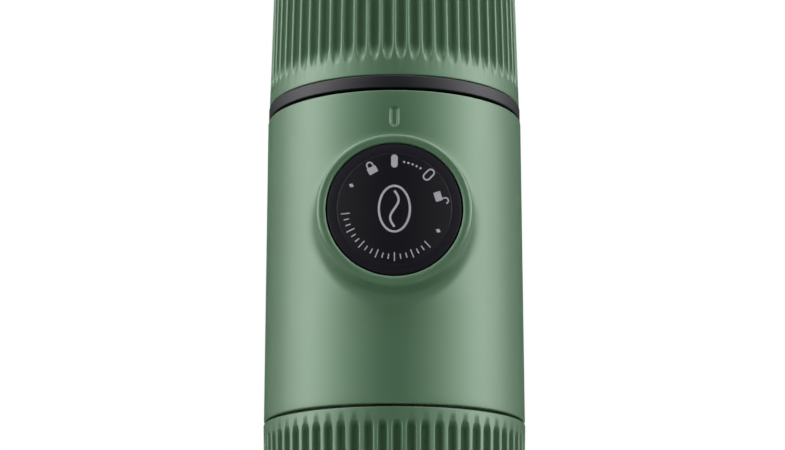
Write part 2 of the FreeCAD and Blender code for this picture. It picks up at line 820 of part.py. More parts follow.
def portafilter():
    """Black brew head: threaded skirt, visible flange, cup spigot and dome."""
    spigot = cup_rim_radius - cup_wall - spigot_gap
    ring_level = flange_top + spigot_height / 2
    body = turned([
        (nozzle_stem_radius + screw_hole_gap, dome_underside), (skirt_end_radius, dome_underside),
        (skirt_end_radius, skirt_bottom), (skirt_radius, skirt_bottom), (skirt_radius, flange_bottom),
        (flange_radius, flange_bottom, flange_edge_round), (flange_radius, flange_top, flange_edge_round),
        (spigot, flange_top),
        (spigot, flange_top + spigot_height), (dome_radius, flange_top + spigot_height),
        (dome_radius, dome_top, dome_round), (nozzle_stem_radius + screw_hole_gap, dome_top)])
    first = skirt_bottom + ridge_radius + brew_thread_margin
    body = body.fuse(ridges(skirt_radius, brew_lead, brew_starts, brew_ridge_rise, first))
    body = body.cut(Part.makeCylinder(skirt_end_radius, dome_underside - skirt_bottom, V(0, 0, skirt_bottom)))
    reach = grip_ring_radius + fit_gap
    inner = grip_ring_centre() - grip_ring_radius
    groove = tube(inner, spigot + overcut, ring_level - reach, ring_level + reach)
    return body.cut(groove)


def grip_ring_centre():
    """Radius of the grip ring's own centre line, from the cup's inner wall at its level."""
    level = flange_top + spigot_height / 2
    return cup_radius(level) - cup_wall - running_gap - grip_ring_radius


def cup_grip_ring():
    """Soft ring round the spigot that holds the cup."""
    level = flange_top + spigot_height / 2
    return Part.makeTorus(grip_ring_centre(), grip_ring_radius, V(0, 0, level))


def nozzle():
    """Spout that the coffee leaves by."""
    spout_low = dome_top + nozzle_collar_height
    tip = spout_low + nozzle_length
    return turned([
        (nozzle_bore, dome_underside), (nozzle_stem_radius, dome_underside), (nozzle_stem_radius, dome_top),
        (nozzle_collar_radius, dome_top), (nozzle_collar_radius, spout_low, nozzle_edge_round),
        (nozzle_root_radius, spout_low), (nozzle_tip_radius, tip, nozzle_edge_round),
        (nozzle_mouth_radius, tip), (nozzle_bore, tip - nozzle_mouth_depth)])


def coffee_scoop():
    """Measuring scoop, stored mouth down over the nozzle."""
    top = scoop_bottom + scoop_height
    bowl = turned([
        (0, top - scoop_wall), (scoop_end_radius - scoop_wall, top - scoop_wall, scoop_round - scoop_wall),
        (scoop_rim_radius - scoop_wall, scoop_bottom), (scoop_rim_radius, scoop_bottom),
        (scoop_end_radius, top, scoop_round), (0, top)])
    tab = Part.makeBox(scoop_tab_reach, scoop_tab_width, scoop_tab_thickness,
                       V(0, -scoop_tab_width / 2, scoop_bottom))
    tab = tab.common(tube(scoop_rim_radius - scoop_tab_overlap, scoop_tab_reach, scoop_bottom, top))
    return fused(bowl, tab)


def knob_shell():
    """Round piston knob: bevelled front ring, web, skirt and two guide lugs."""
    ledge = knob_front + knob_face_thickness
    bevel_start = knob_radius - knob_bevel_width
    pocket = bevel_start - face_ledge_width
    profile = turned([
        (bevel_start, 0), (knob_radius, knob_bevel), (knob_radius, knob_skirt_length),
        (knob_inner_radius, knob_skirt_length), (knob_inner_radius, web_back - knob_front),
        (rod_radius + running_gap, web_back - knob_front), (rod_radius + running_gap, web_front - knob_front),
        (pocket, web_front - knob_front), (pocket, ledge - knob_front), (bevel_start, ledge - knob_front)])
    profile.rotate(V(0, 0, 0), V(1, 0, 0), -90)
    profile.translate(V(0, knob_front, knob_axis))
    lug_span = 180.0 - rail_deg - knob_turn_deg - 2 * turn_slack_deg
    ring = tube_y(knob_radius - lug_root, knob_radius + lug_height, skirt_end - lug_length, skirt_end)
    lugs = []
    for side in (0.0, 180.0):
        low = side + rail_deg / 2 + turn_slack_deg
        lugs.append(ring.common(sector_y(lug_span, low + lug_span / 2, knob_radius + lug_height,
                                         skirt_end - lug_length, skirt_end)))
    return profile.fuse(lugs)


def knob_face():
    """Glossy disc in the knob's front ring."""
    radius = knob_radius - knob_bevel_width - running_gap
    disc = turned([(0, 0), (radius, 0, face_edge_round), (radius, knob_face_thickness),
                   (0, knob_face_thickness)])
    disc.rotate(V(0, 0, 0), V(1, 0, 0), -90)
    disc.translate(V(0, knob_front, knob_axis))
    return disc


def knob_marks():
    """Pale printed marks: filled slot where the knob is locked, dots, outlined slot where it is free."""
    back = knob_front
    front = back - print_thickness
    top = knob_axis + mark_circle
    found = [slot_y(lock_mark_width, lock_mark_height, front, back, 0.0, top)]
    inner_width = open_mark_width - 2 * open_mark_line
    inner_height = open_mark_height - 2 * open_mark_line
    outline = slot_y(open_mark_width, open_mark_height, front, back, 0.0, top)
    outline = outline.cut(slot_y(inner_width, inner_height, front, back, 0.0, top))
    outline.rotate(V(0, 0, knob_axis), BACK, open_mark_deg)
    found.append(outline)
    for k in range(dot_count):
        a = math.radians(dot_first_deg + dot_step_deg * k)
        x = mark_circle * math.sin(a)
        found.append(rod_y(dot_radius, front, back, x, knob_axis + mark_circle * math.cos(a)))
    return Part.makeCompound(found)


def knob_screw():
    """Shouldered screw that holds the knob on the rod and lets it turn."""
    shoulder = rod_y(rod_radius, web_front - running_gap, web_back)
    head_back = web_front - running_gap
    head = rod_y(knob_screw_head_radius, head_back - knob_screw_head_height, head_back)
    thread = rod_y(rod_stud_radius, web_back, web_back + knob_screw_depth)
    slot = Part.makeBox(2 * knob_screw_head_radius, screw_slot_depth, screw_slot_width,
                        V(-knob_screw_head_radius, web_front - running_gap - knob_screw_head_height,
                          knob_axis - screw_slot_width / 2))
    return fused(shoulder, head, thread).cut(slot)


def piston_rod():
    """Steel rod from the knob to the piston head."""
    rod = rod_y(rod_radius, web_back, head_root)
    stud = rod_y(rod_stud_radius, head_root - overcut, head_root + rod_stud_length)
    bore = rod_y(rod_stud_radius + screw_hole_gap, web_back, web_back + knob_screw_depth + slip_gap)
    return fused(rod, stud).cut(bore)


def piston_head():
    """Piston head with a groove for its seal."""
    groove_back = head_tip - seal_groove_margin
    groove_front = groove_back - seal_groove_width
    groove = tube_y(cylinder_bore - seal_groove_depth, cylinder_bore + overcut, groove_front, groove_back)
    body = rod_y(cylinder_bore - running_gap - seal_gap, head_root, head_tip)
    bore = rod_y(rod_stud_radius + screw_hole_gap, head_root, head_root + rod_stud_length + slip_gap)
    return body.cut([groove, bore])


def piston_seal():
    """Soft ring in the piston head's groove."""
    back = head_tip - seal_groove_margin - running_gap
    front = back - seal_groove_width + 2 * running_gap
    ring = tube_y(cylinder_bore - seal_groove_depth, cylinder_bore - seal_gap, front, back)
    outer_edges = [e for e in ring.Edges if e.BoundBox.YLength < match_tolerance
                   and abs(e.BoundBox.XLength - 2 * (cylinder_bore - seal_gap)) < match_tolerance]
    return ring.makeFillet(seal_round, outer_edges)


def spring_washer():
    """Washer between the knob's web and the return spring."""
    return tube_y(rod_radius + running_gap, spring_mean_radius + washer_margin, web_back + running_gap,
                  web_back + running_gap + washer_thickness)


def return_spring():
    """Wound spring that pushes the freed knob out, one unbroken wire."""
    front = web_back + running_gap + washer_thickness + spring_wire_radius
    back = -cylinder_flange_front - spring_wire_radius - running_gap
    lead = (back - front) / spring_turns
    wire = helix_tube(spring_mean_radius, lead, spring_turns, spring_wire_radius)[0]
    report_gap("return_spring", spring_mean_radius, lead, spring_turns, spring_wire_radius)
    wire.rotate(V(0, 0, 0), V(1, 0, 0), -90)
    wire.translate(V(0, front, knob_axis))
    return wire


def report_gap(name, radius, lead, turns, wire):
    """Measures on points the least gap between a spring's neighbouring turns and prints it."""
    per_turn = 36
    count = int(turns * per_turn)
    points = [helix_point(radius, lead, 2 * math.pi * k / per_turn, 0.0, 0.0)[0] for k in range(count + 1)]
    least = min(points[i].distanceToPoint(points[j]) for i in range(len(points))
                for j in range(i + per_turn // 2, len(points)))
    print(name, "least gap between turns, mm:", round(least - 2 * wire, 3))


def pump_cylinder():
    """Pump cylinder with the flange that screws to the inner frame."""
    body = rod_y(cylinder_outer_radius, -cylinder_front, cylinder_back)
    flange = rod_y(cylinder_flange_radius, -cylinder_flange_front, flange_back)
    cuts = [rod_y(cylinder_bore, -cylinder_front, cylinder_back)]
    cuts += [rod_y(small_shank + screw_hole_gap, -cylinder_flange_front, flange_back, p.x, p.z)
             for p in pump_screw_places(0)]
    return fused(body, flange).cut(cuts)


def rod_bush():
    """Plain bearing that guides the rod in the cylinder's mouth."""
    return tube_y(rod_radius + running_gap, cylinder_bore - screw_hole_gap, -cylinder_front,
                  -cylinder_front + bush_length)


def pump_screws():
    """Screws that hold the pump's flange to the inner frame."""
    return Part.makeCompound([screw(p, BACK, small_shank, small_head, small_head_height, pump_screw_length)
                              for p in pump_screw_places(-cylinder_flange_front)])


def valve_block():
    """Block behind the cylinder that holds the inlet and outlet valves on one upright line."""
    barrel = rod_y(block_barrel_radius, block_front, block_end_wall + block_cap)
    column_foot = V(0, valve_line, column_bottom)
    column = Part.makeCylinder(valve_column_radius, floor_bottom - column_bottom, column_foot)
    ears = Part.makeBox(2 * block_ear_reach, block_ear_thickness, 2 * block_ear_half_height,
                        V(-block_ear_reach, block_front, knob_axis - block_ear_half_height))
    body = barrel.fuse([column, ears])
    top_chamber = floor_bottom - valve_top_bottom
    low_chamber = valve_low_top - column_bottom
    cuts = [
        rod_y(cylinder_outer_radius + screw_hole_gap, block_front, block_end_wall),
        rod_y(port_radius, block_end_wall, valve_line),
        Part.makeCylinder(port_radius, valve_top_bottom - valve_low_top, V(0, valve_line, valve_low_top)),
        Part.makeCylinder(valve_bore, top_chamber, V(0, valve_line, valve_top_bottom)),
        Part.makeCylinder(valve_bore, low_chamber, V(0, valve_line, column_bottom)),
        tube(outlet_seal_inner - running_gap, outlet_seal_outer + running_gap,
             floor_bottom - outlet_seal_height, floor_bottom, 0.0, valve_line)]
    cuts += [rod_y(small_shank + screw_hole_gap, block_front, block_front + block_ear_thickness, p.x, p.z)
             for p in block_screw_places(0)]
    return body.cut(cuts)


def block_screws():
    """Long screws that clamp the cylinder between the valve block and the inner frame."""
    seat = block_front + block_ear_thickness
    return Part.makeCompound([screw(p, FRONT, small_shank, small_head, small_head_height, seat - flange_back)
                              for p in block_screw_places(seat)])


def cylinder_seal():
    """Soft ring between the cylinder's end and the valve block."""
    return tube_y(cylinder_bore + fit_gap, cylinder_outer_radius - fit_gap, cylinder_back, block_end_wall)


def outlet_seal():
    """Soft ring between the valve block and the chamber floor."""
    low = floor_bottom - outlet_seal_height
    return tube(outlet_seal_inner, outlet_seal_outer, low, floor_bottom, 0.0, valve_line)


def valve_seat(low):
    """Ring that a valve ball closes."""
    return tube(valve_seat_hole, valve_bore - screw_hole_gap, low, low + valve_seat_height, 0.0, valve_line)


def ball_centre(seat_low):
    """Level of a ball's centre as it rests on the edge of its seat."""
    reach = ball_radius + running_gap
    return seat_low + valve_seat_height + math.sqrt(reach * reach - valve_seat_hole * valve_seat_hole)


def valve_ball(seat_low):
    """Steel ball on its seat."""
    return Part.makeSphere(ball_radius, V(0, valve_line, ball_centre(seat_low)))


def valve_spring(seat_low, stop):
    """Light spring that presses a ball on its seat."""
    rest = math.sqrt(ball_radius * ball_radius - valve_spring_radius * valve_spring_radius)
    low = ball_centre(seat_low) + rest + valve_spring_wire + running_gap
    high = stop - valve_spring_wire - running_gap
    lead = (high - low) / valve_spring_turns
    wire = helix_tube(valve_spring_radius, lead, valve_spring_turns, valve_spring_wire)[0]
    report_gap("valve spring", valve_spring_radius, lead, valve_spring_turns, valve_spring_wire)
    wire.translate(V(0, valve_line, low))
    return wire


NODES = {
    "cup": cup,
    "cup_grip_ring": cup_grip_ring,
    "portafilter": portafilter,
    "nozzle": nozzle,
    "filter_basket": filter_basket,
    "coffee_scoop": coffee_scoop,
    "brew_gasket": brew_gasket,
    "shower_screen": shower_screen,
    "shower_screw": shower_screw,
    "body_shell": body_shell,
    "brew_socket": brew_socket,
    "base_plate": base_plate,
    "socket_screws": socket_screws,
    "base_screws": base_screws,
    "knob_shell": knob_shell,
    "knob_face": knob_face,
    "knob_marks": knob_marks,
    "knob_screw": knob_screw,
    "piston_rod": piston_rod,
    "piston_head": piston_head,
    "piston_seal": piston_seal,
    "spring_washer": spring_washer,
    "return_spring": return_spring,
    "pump_cylinder": pump_cylinder,
    "rod_bush": rod_bush,
    "pump_screws": pump_screws,
    "valve_block": valve_block,
    "block_screws": block_screws,
    "cylinder_seal": cylinder_seal,
    "outlet_seal": outlet_seal,
    "inlet_seat": lambda: valve_seat(valve_low_bottom),
    "inlet_ball": lambda: valve_ball(valve_low_bottom),
    "inlet_spring": lambda: valve_spring(valve_low_bottom, valve_low_top),
    "outlet_seat": lambda: valve_seat(valve_top_bottom),
    "outlet_ball": lambda: valve_ball(valve_top_bottom),
    "outlet_spring": lambda: valve_spring(valve_top_bottom, floor_bottom),
    "inlet_tube": inlet_tube,
    "inlet_strainer": inlet_strainer,
    "air_valve": air_valve,
    "water_tank": water_tank,
    "tank_seal": tank_seal,
}

for name, make in NODES.items():
    shape = make()
    if not shape.isValid() or not shape.Solids:
        print("check the shape of", name)
    shape.exportStep("parts/" + name + ".step")
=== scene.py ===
"""Looks of the handheld manual espresso maker, fitted over its fixed construction frame."""
from __future__ import annotations

import logging
import math
from dataclasses import dataclass, field
from enum import Enum
from typing import Callable, Sequence

import bmesh
import bpy
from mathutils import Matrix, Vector


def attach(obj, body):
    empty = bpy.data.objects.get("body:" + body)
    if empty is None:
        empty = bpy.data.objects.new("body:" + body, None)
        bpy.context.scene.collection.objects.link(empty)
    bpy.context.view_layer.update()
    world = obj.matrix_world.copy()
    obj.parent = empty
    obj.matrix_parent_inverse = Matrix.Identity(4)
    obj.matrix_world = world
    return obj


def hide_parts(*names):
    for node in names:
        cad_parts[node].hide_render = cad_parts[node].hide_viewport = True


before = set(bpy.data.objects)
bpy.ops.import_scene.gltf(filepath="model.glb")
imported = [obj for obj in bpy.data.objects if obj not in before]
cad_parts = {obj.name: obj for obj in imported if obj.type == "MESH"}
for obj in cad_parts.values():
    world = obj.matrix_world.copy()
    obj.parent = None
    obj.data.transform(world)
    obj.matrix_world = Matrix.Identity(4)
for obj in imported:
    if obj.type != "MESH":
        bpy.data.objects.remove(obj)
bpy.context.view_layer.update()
LOG = logging.getLogger("espresso_maker")
MM = 0.001

Point2 = tuple[float, float]
Points = Sequence[Sequence[float]]
Rings = Sequence[Sequence[int]]
Material = bpy.types.Material
Piece = bpy.types.Object

WHITE = (1.0, 1.0, 1.0, 1.0)
WELD_MM = 0.002
ROUND_COLUMNS = 192
FINE_COLUMNS = 256
RIDGE_SIDES = 14
RIDGE_STEPS = 48
RIDGE_TAPER = 3
QUARTER_TURN = tuple(math.pi / 2 * k / 5 for k in range(1, 6))


class Body(str, Enum):
    """Moving bodies of the frame that pieces ride on."""

    MAIN = "body"
    KNOB = "knob"
    BREW_HEAD = "brew_head"
    CUP = "cup"
    TANK = "tank"


class Signal:
    """A node's output that takes part in plain Python arithmetic."""

    def __init__(self, bench: "NodeBench", socket: bpy.types.NodeSocket) -> None:
        """Args: bench: tree the socket is in. socket: an output socket."""
        self.bench = bench
        self.socket = socket

    def __add__(self, other: "Signal | float") -> "Signal":
        """Sum."""
        return self.bench.maths("ADD", self, other)

    def __sub__(self, other: "Signal | float") -> "Signal":
        """Difference."""
        return self.bench.maths("SUBTRACT", self, other)

    def __rsub__(self, other: float) -> "Signal":
        """Difference with a number first."""
        return self.bench.maths("SUBTRACT", other, self)

    def __mul__(self, other: "Signal | float") -> "Signal":
        """Product."""
        return self.bench.maths("MULTIPLY", self, other)

    def __truediv__(self, other: "Signal | float") -> "Signal":
        """Quotient."""
        return self.bench.maths("DIVIDE", self, other)

    __radd__ = __add__
    __rmul__ = __mul__

    def power(self, exponent: "Signal | float") -> "Signal":
        """This signal raised to an exponent."""
        return self.bench.maths("POWER", self, exponent)

    def clamped(self) -> "Signal":
        """This signal held between 0 and 1."""
        return self.bench.node("ShaderNodeClamp", {}, {"Value": self})


class NodeBench:
    """Adds nodes to one tree."""

    def __init__(self, tree: bpy.types.NodeTree) -> None:
        """Args: tree: the tree, which is emptied first."""
        self.tree = tree
        self.tree.nodes.clear()

    def feed(self, socket: bpy.types.NodeSocket, value: object) -> None:
        """Links or sets one input socket. Args: socket: the input. value: a signal or a constant."""
        if isinstance(value, Signal):
            self.tree.links.new(value.socket, socket)
        else:
            socket.default_value = value

    def add(self, kind: str, settings: dict[str, object], inputs: dict[object, object]) -> bpy.types.Node:
        """Adds any node.

        Args:
            kind: the node's type.
            settings: attributes that are set first.
            inputs: values or signals by socket name or number.

        Returns:
            The node.
        """
        made = self.tree.nodes.new(kind)
        for key, value in settings.items():
            setattr(made, key, value)
        for key, value in inputs.items():
            self.feed(made.inputs[key], value)
        return made

    def node(self, kind: str, settings: dict[str, object], inputs: dict[object, object],
             output: int | str = 0) -> Signal:
        """Adds any node. Args: kind, settings, inputs: as for add. output: the one to return. Returns it."""
        return Signal(self, self.add(kind, settings, inputs).outputs[output])

    def maths(self, operation: str, *values: object) -> Signal:
        """One Math node. Args: operation: its kind. values: numbers or signals. Returns its value."""
        return self.node("ShaderNodeMath", {"operation": operation}, dict(enumerate(values)))

    def split(self, vector: Signal) -> tuple[Signal, ...]:
        """Parts of a vector. Returns x, y and z."""
        made = self.add("ShaderNodeSeparateXYZ", {}, {0: vector})
        return tuple(Signal(self, socket) for socket in made.outputs)


class MaterialBench(NodeBench):
    """Builds one material out of nodes."""

    def __init__(self, name: str) -> None:
        """Args: name: the material's name."""
        self.material = bpy.data.materials.new(name)
        self.material.use_nodes = True
        super().__init__(self.material.node_tree)
        self.shader = self.add("ShaderNodeBsdfPrincipled", {}, {})
        self.add("ShaderNodeOutputMaterial", {}, {"Surface": Signal(self, self.shader.outputs[0])})
        self.place = self.node("ShaderNodeTexCoord", {}, {}, "Object")

    def noise(self, scale: float, detail: float = 2.0, roughness: float = 0.5,
              place: Signal | None = None) -> Signal:
        """Noise in the object's own space. Args: scale: cells per metre. Returns its value from 0 to 1."""
        return self.node("ShaderNodeTexNoise", {}, {"Vector": place or self.place, "Scale": scale,
                                                   "Detail": detail, "Roughness": roughness})

    def tinted(self, factor: Signal, colour: Sequence[float], dark: float, light: float) -> Signal:
        """Colour between two shades. Args: factor: 0 to 1. dark, light: the shades. Returns the colour."""
        low, high = ((*(min(1.0, c * shade) for c in colour), 1.0) for shade in (dark, light))
        return self.blended(factor, low, high)

    def blended(self, factor: Signal, low: object, high: object) -> Signal:
        """Colour between two colours. Args: factor: 0 to 1. low, high: colours. Returns the colour."""
        return self.node("ShaderNodeMix", {"data_type": "RGBA"}, {0: factor, 6: low, 7: high}, 2)

    def bump(self, height: Signal, strength: float, depth_mm: float) -> None:
        """Feeds a bump of real height to the shader. Args: height: 0 to 1. strength, depth_mm: of it."""
        normal = self.node("ShaderNodeBump", {}, {"Strength": strength, "Distance": depth_mm * MM,
                                                  "Height": height})
        self.feed(self.shader.inputs["Normal"], normal)

    def surface(self, **sockets: object) -> Material:
        """Sets the shader's sockets by name, with underscores for spaces. Returns the material."""
        for name, value in sockets.items():
            self.feed(self.shader.inputs[name.replace("_", " ")], value)
        return self.material


@dataclass(frozen=True)
class MouldedPlastic:
    """Moulded plastic with a fine texture, faint clouding and uneven gloss.

    Fields: name, colour (linear), roughness, grain_mm (size of the texture), grain_depth_mm, coat, spread (of
    the tint), coat_roughness, sheen_tint and gloss_level (colour and strength of the gloss).
    """

    CLOUD_CELLS = 35.0
    SMUDGE_CELLS = 60.0
    SMUDGE_GLOSS = 0.06
    GRAIN_GLOSS = 0.04
    GRAIN_BUMP = 0.35
    INDEX = 1.47

    name: str
    colour: tuple[float, float, float]
    roughness: float
    grain_mm: float = 0.35
    grain_depth_mm: float = 0.004
    coat: float = 0.0
    spread: float = 0.05
    coat_roughness: float = 0.2
    sheen_tint: tuple[float, float, float] = (1.0, 1.0, 1.0)
    gloss_level: float = 0.5

    def build(self) -> Material:
        """Returns the finished material."""
        bench = MaterialBench(self.name)
        clouds = bench.noise(self.CLOUD_CELLS, 3.0)
        fine = bench.noise(1.0 / (self.grain_mm * MM))
        tint = bench.tinted(clouds, self.colour, 1.0 - self.spread, 1.0 + self.spread)
        # smudged gloss; for grooved plastic this also paints shade into the flutes' floors
        tint, dulling = self._wear_and_painted_shade(bench, clouds, tint)
        gloss = self.roughness + dulling + (fine - 0.5) * self.GRAIN_GLOSS
        bench.bump(fine, self.GRAIN_BUMP, self.grain_depth_mm)
        return bench.surface(Base_Color=tint, Roughness=gloss.clamped(), IOR=self.INDEX,
                             Coat_Weight=self.coat, Coat_Roughness=self.coat_roughness,
                             Specular_Tint=(*self.sheen_tint, 1.0), Specular_IOR_Level=self.gloss_level)

    def _wear_and_painted_shade(self, bench: MaterialBench, clouds: Signal, tint: Signal) -> tuple[Signal, Signal]:
        """Smudges the gloss. Args: bench, tint: so far; clouds: not used. Returns the tint and the added
        roughness.
        """
        return tint, (bench.noise(self.SMUDGE_CELLS, 4.0, 0.6) - 0.5) * self.SMUDGE_GLOSS


@dataclass(frozen=True)
class GroovedPlastic(MouldedPlastic):
    """Moulded plastic whose colour darkens towards the flutes' floors as painted shade.

    Fields: as in MouldedPlastic, with the wall's radius at level 0, its growth per millimetre of level, the
    depth at which the painted shade is full, its strength and tint, and the wall's thickness, inside which it
    ends.
    """

    PAINTED_SHADE_RANGE = (0.95, 1.1)
    FLOOR_GLOSS = 0.4
    INSIDE_SLOPE = 8.0

    wall_radius: float = 30.0
    wall_growth: float = 0.0
    full_depth: float = 1.0
    shade: float = 0.72
    painted_shade_tint: tuple[float, float, float] = (0.5, 1.0, 0.6)
    wall: float = 1.7

    def _wear_and_painted_shade(self, bench: MaterialBench, clouds: Signal, tint: Signal) -> tuple[Signal, Signal]:
        """Paints shade onto the flutes' floors. Args: bench, clouds, tint: so far. Returns the tint and the
        added roughness.
        """
        x, y, z = bench.split(bench.place)
        radius = (x * x + y * y).power(0.5)
        depth = (z * self.wall_growth + self.wall_radius * MM - radius) * (1.0 / MM)
        sunk = (depth * (1.0 / self.full_depth)).clamped()
        sunk = (sunk - ((depth - self.wall) * self.INSIDE_SLOPE).clamped()).clamped()
        # painted shade: the base colour darkens with flute depth towards a deep green floor colour, standing
        # in for the shade in the grooves
        painted_shade_colour = tuple(c * (1.0 - self.shade) * s for c, s in zip(self.colour, self.painted_shade_tint))
        floor = bench.tinted(clouds, painted_shade_colour, *self.PAINTED_SHADE_RANGE)
        return bench.blended(sunk, tint, floor), sunk * self.FLOOR_GLOSS


@dataclass(frozen=True)
class BrushedSteel:
    """Stainless steel with fine turned or drawn lines.

    Fields: name, colour, roughness and line_mm, the spacing of the lines.
    """

    STRETCH = (0.06, 0.06, 1.0)
    SHADES = (0.88, 1.08)
    LINE_BUMP = 0.3
    LINE_DEPTH_MM = 0.003
    LINE_GLOSS = 0.15

    name: str
    colour: tuple[float, float, float] = (0.58, 0.57, 0.55)
    roughness: float = 0.28
    line_mm: float = 0.18

    def build(self) -> Material:
        """Returns the finished material."""
        bench = MaterialBench(self.name)
        stretched = bench.node("ShaderNodeMapping", {}, {"Vector": bench.place, "Scale": self.STRETCH})
        lines = bench.noise(1.0 / (self.line_mm * MM), place=stretched)
        tone = bench.tinted(lines, self.colour, *self.SHADES)
        bench.bump(lines, self.LINE_BUMP, self.LINE_DEPTH_MM)
        gloss = self.roughness + (lines - 0.5) * self.LINE_GLOSS
        return bench.surface(Base_Color=tone, Metallic=1.0, Roughness=gloss.clamped())


@dataclass(frozen=True)
class SoftSilicone:
    """Soft silicone with a dusty, matt skin.

    Fields: name, colour, roughness, cells and detail of its speckle, shades between which the speckle tints,
    gloss_spread of it and bump, its strength.
    """

    SPECKLE_DEPTH_MM = 0.01

    name: str
    colour: tuple[float, float, float]
    roughness: float = 0.62
    cells: float = 900.0
    detail: tuple[float, float] = (4.0, 0.7)
    shades: tuple[float, float] = (0.85, 1.25)
    gloss_spread: float = 0.2
    bump: float = 0.25

    def build(self) -> Material:
        """Returns the finished material."""
        bench = MaterialBench(self.name)
        speckle = bench.noise(self.cells, *self.detail)
        tone = bench.tinted(speckle, self.colour, *self.shades)
        if self.bump:
            bench.bump(speckle, self.bump, self.SPECKLE_DEPTH_MM)
        gloss = self.roughness + (speckle - 0.5) * self.gloss_spread
        return bench.surface(Base_Color=tone, Roughness=gloss.clamped())


@dataclass(frozen=True)
class PrintedInk(SoftSilicone):
    """Pad-printed ink with a slightly broken film.

    Fields: as in SoftSilicone.
    """

    roughness: float = 0.5
    cells: float = 2500.0
    detail: tuple[float, float] = (3.0, 0.6)
    shades: tuple[float, float] = (0.9, 1.06)
    gloss_spread: float = 0.15
    bump: float = 0.0


GREEN = (0.080, 0.176, 0.094)
GREEN_LOOK = {"colour": GREEN, "roughness": 0.36, "grain_mm": 0.30, "grain_depth_mm": 0.003,
              "sheen_tint": (0.96, 1.0, 0.96)}
SHELL_GREEN = MouldedPlastic("sage_green_plastic", **GREEN_LOOK)
CUP_GREEN = GroovedPlastic("sage_green_cup", **GREEN_LOOK, wall_radius=32.99, wall_growth=-0.0224)
TANK_GREEN = GroovedPlastic("sage_green_tank", **GREEN_LOOK, wall_radius=30.4, wall_growth=0.0218,
                            full_depth=0.9)
HEAD_BLACK = MouldedPlastic("satin_black_plastic", (0.007, 0.007, 0.010), 0.42, gloss_level=0.20)
KNOB_BLACK = MouldedPlastic("smooth_black_plastic", (0.005, 0.004, 0.009), 0.36, 0.5, 0.001, coat=0.05,
                            spread=0.08, gloss_level=0.16)
FACE_BLACK = MouldedPlastic("polished_black_plastic", (0.005, 0.005, 0.009), 0.20, 0.6, 0.001, coat=0.15,
                            spread=0.06, gloss_level=0.36)
FRAME_BLACK = MouldedPlastic("matt_black_plastic", (0.018, 0.018, 0.020), 0.55, 0.4, 0.012)
SCOOP_BLACK = MouldedPlastic("scoop_black_plastic", (0.022, 0.022, 0.025), 0.45, 0.4, 0.010)
GREY_PLASTIC = MouldedPlastic("grey_plastic", (0.26, 0.26, 0.25), 0.45, 0.4, 0.006)
WHITE_PLASTIC = MouldedPlastic("white_bearing_plastic", (0.68, 0.67, 0.62), 0.42, 0.4, 0.006)
STEEL = BrushedSteel("turned_steel")
DRAWN_STEEL = BrushedSteel("drawn_steel", (0.62, 0.61, 0.60), 0.22, 0.35)
WIRE_STEEL = BrushedSteel("spring_wire_steel", (0.52, 0.51, 0.50), 0.3, 0.1)
BLACK_SILICONE = SoftSilicone("black_silicone", (0.012, 0.012, 0.013))
GREY_SILICONE = SoftSilicone("grey_silicone", (0.12, 0.12, 0.12))
PALE_INK = PrintedInk("pale_print", (0.52, 0.52, 0.57))


class MeshForge:
    """Turns points and faces into objects that sit at the origin."""

    @staticmethod
    def make(name: str, points: Points, faces: Rings,
             material: Material, smooth_deg: float = 40.0) -> Piece:
        """Makes an object from points in millimetres.

        Args:
            name: the object's name.
            points: corners in millimetres.
            faces: corner numbers of each face.
            material: its finish.
            smooth_deg: edges sharper than this stay sharp.

        Returns:
            The linked object.
        """
        mesh = bpy.data.meshes.new(name)
        mesh.from_pydata([tuple(c * MM for c in p) for p in points], [], [list(f) for f in faces])
        work = bmesh.new()
        work.from_mesh(mesh)
        bmesh.ops.remove_doubles(work, verts=work.verts, dist=WELD_MM * MM)
        bmesh.ops.recalc_face_normals(work, faces=work.faces)
        for face in work.faces:
            face.smooth = True
        limit = math.radians(smooth_deg)
        for edge in work.edges:
            edge.smooth = len(edge.link_faces) != 2 or edge.calc_face_angle(0.0) <= limit
        work.to_mesh(mesh)
        work.free()
        mesh.materials.append(material)
        made = bpy.data.objects.new(name, mesh)
        bpy.context.scene.collection.objects.link(made)
        return made

    @staticmethod
    def join(name: str, pieces: Sequence[Piece]) -> Piece:
        """Joins pieces into the first one. Args: name: the result's name. Returns it."""
        base = bmesh.new()
        for piece in pieces:
            base.from_mesh(piece.data)
        first = pieces[0]
        base.to_mesh(first.data)
        base.free()
        for piece in pieces[1:]:
            bpy.data.objects.remove(piece)
        first.name = name
        return first


@dataclass
class Outline:
    """A turned outline of straight stretches and rounded corners, in millimetres.

    Fields: corners, each (radius, level) or (radius, level, rounding); steps, points in each rounding.
    """

    corners: list[tuple[float, ...]]
    steps: int = 6

    def points(self) -> list[Point2]:
        """Returns the outline's points, in order, not closed."""
        found: list[Point2] = []
        last = len(self.corners) - 1
        for i, corner in enumerate(self.corners):
            here = Vector(corner[:2])
            if len(corner) < 3 or i in (0, last):
                found.append(tuple(here))
                continue
            before = (Vector(self.corners[i - 1][:2]) - here).normalized()
            after = (Vector(self.corners[i + 1][:2]) - here).normalized()
            half = before.angle(after) / 2
            reach = corner[2] / math.tan(half)
            centre = here + (before + after).normalized() * (corner[2] / math.sin(half))
            start = here + before * reach - centre
            end = here + after * reach - centre
            for k in range(self.steps + 1):
                share = k / self.steps
                arm = start.lerp(end, share).normalized() * corner[2]
                found.append(tuple(centre + arm))
        return found


def even_angles(count: int) -> list[float]:
    """Angles round a full turn. Args: count: how many. Returns radians."""
    return [2 * math.pi * k / count for k in range(count)]


